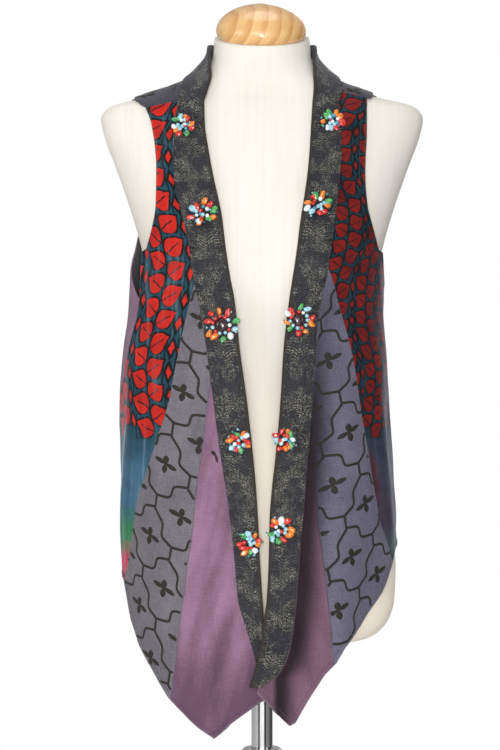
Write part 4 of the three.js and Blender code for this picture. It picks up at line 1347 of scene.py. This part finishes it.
def trellis_lines(reach):
    """Every line and petal of the trellis round one flower, out to a reach in cells."""
    a, b = (np.array(TRELLIS[key], float) for key in ("across", "down"))
    for i in range(-reach, reach + 1):
        for j in range(-reach, reach + 1):
            middle = a * i + b * j
            for corners in TRELLIS["lines"]:
                line = rounded(np.array(corners) + middle)
                yield line, np.full(len(line), 1.7)
            for start, end, wide in TRELLIS["petals"]:
                t = np.linspace(0, 1, 11)[:, None]
                line = mix(np.array(start, float), np.array(end, float), t) + middle
                t = t[:, 0]
                yield line, wide * np.maximum(np.sin(np.pi * t**1.25), 0) ** 0.7 + 0.15


# A flower of each front's trellis: distance out and height
FLOWERS = {"right": (130.8, 532.5), "left": (103.1, 508.3)}

for half, side in SIDES.items():
    out, flower_z = FLOWERS[half]
    flower_u = float(arc_length(side, angle_at(side, np.array([out]), np.array([flower_z]))[0], flower_z))
    panel = lattice_panel(side)
    stretch, margin = 1.04, 0.28  # of the lattice across the cloth, and degrees kept free beside a seam
    found = []
    for line, wide in trellis_lines(8):
        u, z = flower_u + line[:, 0] * stretch, flower_z - line[:, 1]
        if z.max() < 300 or z.min() > 830 or u.max() < 5 or u.min() > 260:
            continue
        a = angle_of(side, u, np.clip(z, 285, 1100))
        inside = ((a > panel["inner"](z) + margin) & (a < panel["outer"](z) - margin)
                  & (z < panel["top"](a) - 1) & (z > panel["hem"](a) + 2.2))
        found += runs(np.stack([a, z, wide], -1), inside)
    embroider("trellis_" + half, "lattice", found, lambda a, z: on_surface(side, hung_radius, a, z))

# One small leaf pair of the right front's plum, half under the band: distance out and height of each end
LEAVES = [((58.6, 631.0), (53.6, 625.4), 2.3), ((53.8, 627.0), (51.6, 617.0), 1.5)]
t = np.linspace(0, 1, 11)[:, None]
found = [np.concatenate([mix(np.array(start), np.array(end), t), wide * np.sin(np.pi * t) ** 0.7 + 0.12], -1)
         for start, end, wide in LEAVES]
embroider("leaf_plum_right", "plum", found,
          lambda out, z: on_surface(RIGHT, hung_radius, angle_at(RIGHT, out, z), z))

# The yoke is cut from the same cloth. Its length runs over the shoulders, its width from the neck to the arm
_, (_, _, points, normals, _) = pieces["yoke"]
across, _ = distance_in(points, 1)
spine = distance_in(points[:, 30][:, None], 0)[0][:, 0]
spine = spine - spine[len(spine) // 2]
steps = np.arange(len(spine))
found = []
for line, wide in trellis_lines(11):
    row = np.interp(line[:, 0], spine, steps)
    share = (line[:, 1] + 40) / np.interp(row, steps, across[:, -1])
    inside = (np.abs(line[:, 0]) < spine[-1] - 3) & (share > 0.03) & (share < 0.97)
    found += runs(np.stack([row, share * (points.shape[1] - 1), wide], -1), inside)
embroider("trellis_yoke", "lattice", found,
          lambda row, column: (on_grid(points, row, column), unit(on_grid(normals, row, column))))


def dashes(points, normals, dash=2.7, gap=0.9):
    """Short stitches along a line: four points of each, with the way out, and how many points each has."""
    length = np.concatenate([[0], np.cumsum(np.linalg.norm(np.diff(points, axis=0), axis=-1))])
    starts = np.arange(1.0, length[-1] - dash - 1, dash + gap)
    at = (starts[:, None] + np.linspace(0, dash, 4)).ravel()
    place_at, normal_at = (np.stack([np.interp(at, length, values[:, k]) for k in range(3)], -1)
                           for values in (points, normals))
    return place_at, unit(normal_at), [4] * len(starts)


def hem_line(side, grid, distance):
    """The line at a distance above a panel's hem."""
    angle, z, u = grid[0], grid[1], grid[4]
    at = np.linspace(-12, 180, 1200)
    hem_z = hem_at(side)(at)
    hem_u = arc_length(side, at, hem_z)
    found = []
    for j in range(2, angle.shape[1] - 2):
        rows = slice(max(0, angle.shape[0] - 40), None)
        d = np.hypot(u[rows, j][:, None] - hem_u, z[rows, j][:, None] - hem_z).min(1)
        order = np.argsort(d)
        if d.max() > distance:
            found.append([np.interp(distance, d[order], angle[rows, j][order]),
                          np.interp(distance, d[order], z[rows, j][order])])
    return np.array(found)


def stitched(name, side, lines, material, slot):
    """Short stitches along lines on a side's hanging cloth."""
    parts = []
    for line in lines:
        points, normals = on_surface(side, hung_radius, line[:, 0], line[:, 1])
        parts.append(dashes(points, normals))
    points, normals = (np.concatenate([part[k] for part in parts]) for k in (0, 1))
    counts = sum([part[2] for part in parts], [])
    widths = np.tile([0.2, 0.38, 0.38, 0.2], len(counts))
    piece = ribbons(name, points, normals, counts, widths, 0.28, material, lift=0.05)
    pieces[name] = keep(piece, slot), None


def edge_line(grid, edge, distance, above=0.0):
    """The line at a distance from a panel's inner or outer edge, above a height."""
    angle, z, points = grid[:3]
    from_start, to_end = distance_in(points, 1)
    d = from_start if edge == "inner" else to_end
    found = []
    for i in range(2, angle.shape[0] - 2):
        order = np.argsort(d[i])
        row_z = np.interp(distance, d[i][order], z[i][order])
        if row_z > above:
            found.append([np.interp(distance, d[i][order], angle[i][order]), row_z])
    return np.array(found)


for half, side in SIDES.items():
    for part, slot, sewn_with in (
            ("front_print_", "print", THREAD_DARK), ("front_lattice_", "lattice", THREAD_GREY),
            ("front_plum_", "plum", THREAD), ("back_", "plum", THREAD)):
        grid = pieces[part + half][1]
        lines = [hem_line(side, grid, STITCHED)]
        if part == "front_print_":
            lines.append(edge_line(grid, "outer", 8, side["armhole"]["z"][0] - 30))
        if part == "back_":
            lines.append(edge_line(grid, "inner", 8, side["back"]["z"][0] + 12))
        stitched("stitches_" + part + half, side, lines, sewn_with, slot)

# Rosettes: round beads at the heart, chips laid out round it, and small beads between


def ball(level):
    mesh = bmesh.new()
    bmesh.ops.create_icosphere(mesh, subdivisions=level, radius=1)
    points = np.array([v.co[:] for v in mesh.verts])
    faces = np.array([[v.index for v in f.verts] for f in mesh.faces])
    mesh.free()
    return points, faces


ROUND, STONE = ball(2), ball(3)
CHIPS = [RED, ORANGE, GREEN, RED, ORANGE, BLUE, ORANGE, RED, GREEN, WHITE]
BEADED = [RED, BLUE, BLUE, RED, WHITE, BLUE, TURQUOISE]
SEEDS = [TURQUOISE, BLUE, TURQUOISE, GREEN]


def chip_shape(rng):
    """An irregular tumbled chip with a few flattened sides, about 1 long each way."""
    points = STONE[0].copy()
    for _ in range(7):
        direction = unit(rng.normal(size=3))
        reach = rng.uniform(0.68, 0.92)
        over = np.maximum(points @ direction - reach, 0)
        points -= direction * (over * 0.86)[:, None]
    for _ in range(3):
        wave = rng.normal(size=3) * 2.2
        points *= (1 + 0.045 * np.sin(points @ wave + rng.uniform(0, 6)))[:, None]
    return points


def rosette_piece(name, side, out, z, radius, heart, rng):
    """Beads and chips round a place on a band, with a stone or more beads at the heart."""
    parts, faces, slots, total = [], [], [], 0

    def frame_at(dx, dz):
        height = np.array([z + dz])
        point, normal = on_surface(side, rest_radius, angle_at(side, np.array([out + dx]), height), height)
        point, normal = point[0], normal[0]
        up = unit(np.array([0, 0, 1.0]) - normal * normal[2])
        return point, normal, np.cross(up, normal), up

    def lay(shape, triangles, dx, dz, height, size, turn, slot, tilt=0.0):
        nonlocal total
        point, normal, across, up = frame_at(dx, dz)
        along = across * math.cos(turn) * side["sign"] + up * math.sin(turn)
        beside = np.cross(normal, along)
        lifted = unit(along + normal * tilt)
        top = np.cross(lifted, beside)
        top = top * np.sign(top @ normal)
        local = shape * np.array(size)
        centre = point + normal * (BAND["over"] + height)
        placed = centre + local[:, :1] * lifted + local[:, 1:2] * beside + local[:, 2:] * top
        # A mirrored frame turns the faces inside out
        handed = np.dot(np.cross(lifted, beside), top) > 0
        parts.append(placed)
        faces.append((triangles if handed else triangles[:, ::-1]) + total)
        slots.extend([slot] * len(triangles))
        total += len(shape)

    colours = iter(rng.permutation(CHIPS).tolist())

    def chip(turn, reach, spin, height, grow=1.0):
        size = (rng.uniform(4.0, 5.8) * grow, rng.uniform(2.9, 4.0) * grow, rng.uniform(2.0, 2.8) * grow)
        lay(chip_shape(rng), STONE[1], reach * math.cos(turn), reach * math.sin(turn), height, size,
            turn + rng.uniform(-spin, spin), next(colours), rng.uniform(0, 0.34))

    def bead_at(turn, reach, height, size, choice=BEADED):
        lay(ROUND[0], ROUND[1], reach * math.cos(turn), reach * math.sin(turn), height, (size,) * 3, 0,
            choice[int(rng.integers(0, len(choice)))])

    # A thin felt backing
    lay(ROUND[0], ROUND[1], 0, 0, 0.7, (radius * 0.5, radius * 0.5, 0.75), 0, BACKING)
    start = rng.uniform(0, 6)
    if heart == "stone":
        lay(STONE[0], STONE[1], 0, 0, 2.0, (7.0, 7.2, 3.2), 0, MAROON)
        for k in range(11):
            bead_at(start + (k + rng.uniform(-0.15, 0.15)) * TURN / 11, rng.uniform(9.2, 10.2), 2.4,
                    rng.uniform(2.2, 2.6), [RED, BLUE] if k % 3 else [RED, WHITE, BLUE])
        for k in range(10):
            chip(start + (k + rng.uniform(-0.3, 0.3)) * TURN / 10, radius - 2.8 + rng.uniform(-1.5, 1.5), 0.8,
                 2.3, 0.94)
    else:
        for k in range(10):
            chip(start + (k + rng.uniform(-0.4, 0.4)) * TURN / 10, radius * rng.uniform(0.56, 0.80), 1.0,
                 2.2 + rng.uniform(0, 1.2), 0.92 if radius < 16 else 1.0)
        for k in range(9):
            bead_at(start + (k + rng.uniform(-0.3, 0.3)) * TURN / 6, radius * (0.38 if k < 6 else 0.14),
                    2.6 + rng.uniform(0, 1.4), rng.uniform(2.1, 2.7))
    for k in range(16):
        # Small beads fill the gaps
        bead_at(rng.uniform(0, TURN), radius * rng.uniform(0.45, 1.0), 1.5, rng.uniform(1.0, 1.5), SEEDS)
    return new_object(name, np.concatenate(parts), np.concatenate(faces), BEADS, slots)


for half, side in SIDES.items():
    rng = np.random.default_rng(41 if half == "right" else 67)
    for k, (out, z, radius) in enumerate(zip(*side["rosettes"].values())):
        heart = "stone" if k == 2 else "beads"
        piece = rosette_piece(f"beads_{half}_{k + 1}", side, out, z, radius, heart, rng)
        keep(piece, "beads", f"rosette_{half}_{k + 1}")

# Sheets of cloth: every cut piece and what it carries, listed for each side but not used further


for half, side in SIDES.items():
    carried = {
        "front_print_": ["stitches_front_print_"],
        "front_lattice_": ["trellis_", "stitches_front_lattice_"],
        "front_plum_": ["stitches_front_plum_"],
        "back_": ["stitches_back_"],
        "band_": [f"beads_{half}_{k}" for k in range(1, 6)],
    }
    for start, names in carried.items():
        piece, grid = pieces[start + half]
        if start + half == "front_plum_right":
            names = names + ["leaf_plum_"]

# Stand: the solids keep their shapes and take a finished metal

for name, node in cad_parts.items():
    if name.startswith("stand_"):
        for slot in node.material_slots:
            slot.material = CHROME

# Floor, light and camera


LIGHTS = {  # where each lamp stands, the height it is aimed at, its power and its width
    "key": ((-0.9, -2.9, 1.7), 0.72, 8, 0.7),
    "front": ((-0.12, -3.3, 0.95), 0.7, 31, 0.5),
    "low": ((0.05, -3.2, 0.4), 0.5, 17, 0.5),
    "side": ((-2.4, -1.5, 1.5), 0.7, 13, 1.2),
    "fill": ((2.3, -1.8, 1.2), 0.7, 9, 1.8),
    "top": ((0, 0.2, 3.0), 0.8, 12, 1.4),
    "rim": ((0.8, 2.4, 1.8), 0.7, 24, 1.6),
}
for name, (location, aim, energy, size) in LIGHTS.items():
    data = bpy.data.lights.new(name, "AREA")
    data.energy, data.shape, data.size = energy, "DISK", size
    lamp = bpy.data.objects.new(name, data)
    lamp.location = location
    lamp.rotation_euler = (Vector((0, 0, aim)) - Vector(location)).to_track_quat("-Z", "Y").to_euler()
    bpy.context.scene.collection.objects.link(lamp)


def studio():
    """A white room. What it reflects is dimmer, and dark on one side, as beyond a photographer's screens."""
    world = bpy.data.worlds.new("studio")
    world.use_nodes = True
    nodes = Nodes(world.node_tree)
    backdrop = nodes.tree.nodes["Background"]
    backdrop.inputs["Color"].default_value = (1, 1, 1, 1)
    x, y, _ = nodes.split(nodes.node("ShaderNodeTexCoord", "Generated"))
    screens = (x * 0.93 - y * 0.37).step(0.55, 0.8) * 0.85
    screens = screens.high((y * -0.86 - x * 0.5).step(0.93, 0.98) * 0.7)
    room = (1 - screens) * 0.38 + (y * -1).step(0.88, 0.97) * 2.2
    put(nodes.tree, backdrop.inputs["Strength"], nodes.seen().high(room))
    bpy.context.scene.world = world


studio()


def floor_paint():
    """A pale floor that brightens into the white backdrop a little way behind the object."""
    paint = Paint("pale floor")
    x, y, _ = paint.split(paint.place())
    far = (x * x + y * y).root()
    mottle = paint.noise(paint.vector(x * 0.01, y * 0.01), 1.0, 3.0)
    pale = paint.blend(mottle, "F4F3F1", "EDECE9")
    # Painted reflections and shade: in what lights and mirrors see, the floor beyond 0.5 m turns dark in
    # stripes, as of screens out of view
    seen = paint.seen()
    turn = x.atan2(y * -1) * (180 / math.pi)
    dark = (turn + 31).abs().step(21, 15) * 0.8
    dark = dark.high((turn - 40).abs().step(13, 9) * 0.97)
    dark = dark.high(turn.step(44, 52) * 0.6).high(turn.step(88, 100) * 0.88)
    shade = dark * (1 - seen) * far.step(500.0, 900.0)
    paint.set(paint.blend(shade, pale, "100E0B"), 0.6, 0.2)
    glow = paint.tree.nodes.new("ShaderNodeEmission")
    mixed = paint.tree.nodes.new("ShaderNodeMixShader")
    paint.tree.links.new((far.step(550.0, 1500.0) * seen).socket, mixed.inputs[0])
    paint.tree.links.new(paint.shader.outputs[0], mixed.inputs[1])
    paint.tree.links.new(glow.outputs[0], mixed.inputs[2])
    paint.tree.links.new(mixed.outputs[0], paint.output.inputs["Surface"])
    return paint.material


turns = 96
reaches = [400, 700, 1100, 1800, 2800, 4500, 7000, 12000, 30000]
angle = np.arange(turns) * 2 * math.pi / turns
rings = [np.stack([r * np.cos(angle), r * np.sin(angle), 0 * angle], -1) for r in reaches]
faces = [[0, 1 + k, 1 + (k + 1) % turns] for k in range(turns)]
for n in range(len(reaches) - 1):
    for k in range(turns):
        a, b = 1 + n * turns + k, 1 + n * turns + (k + 1) % turns
        faces.append([a, a + turns, b + turns, b])
floor = new_object("studio_floor", np.concatenate([[[0, 0, 0]], *rings]), faces, [floor_paint()])

camera = bpy.data.objects.new("camera", bpy.data.cameras.new("camera"))
camera.data.lens = 120
camera.data.sensor_width = 36
camera.data.clip_end = 100
camera.location = (-0.0144, -3.0, 0.718)
camera.rotation_euler = (math.radians(90), 0, 0)
bpy.context.scene.collection.objects.link(camera)
bpy.context.scene.camera = camera
bpy.context.scene.view_settings.view_transform = "Standard"
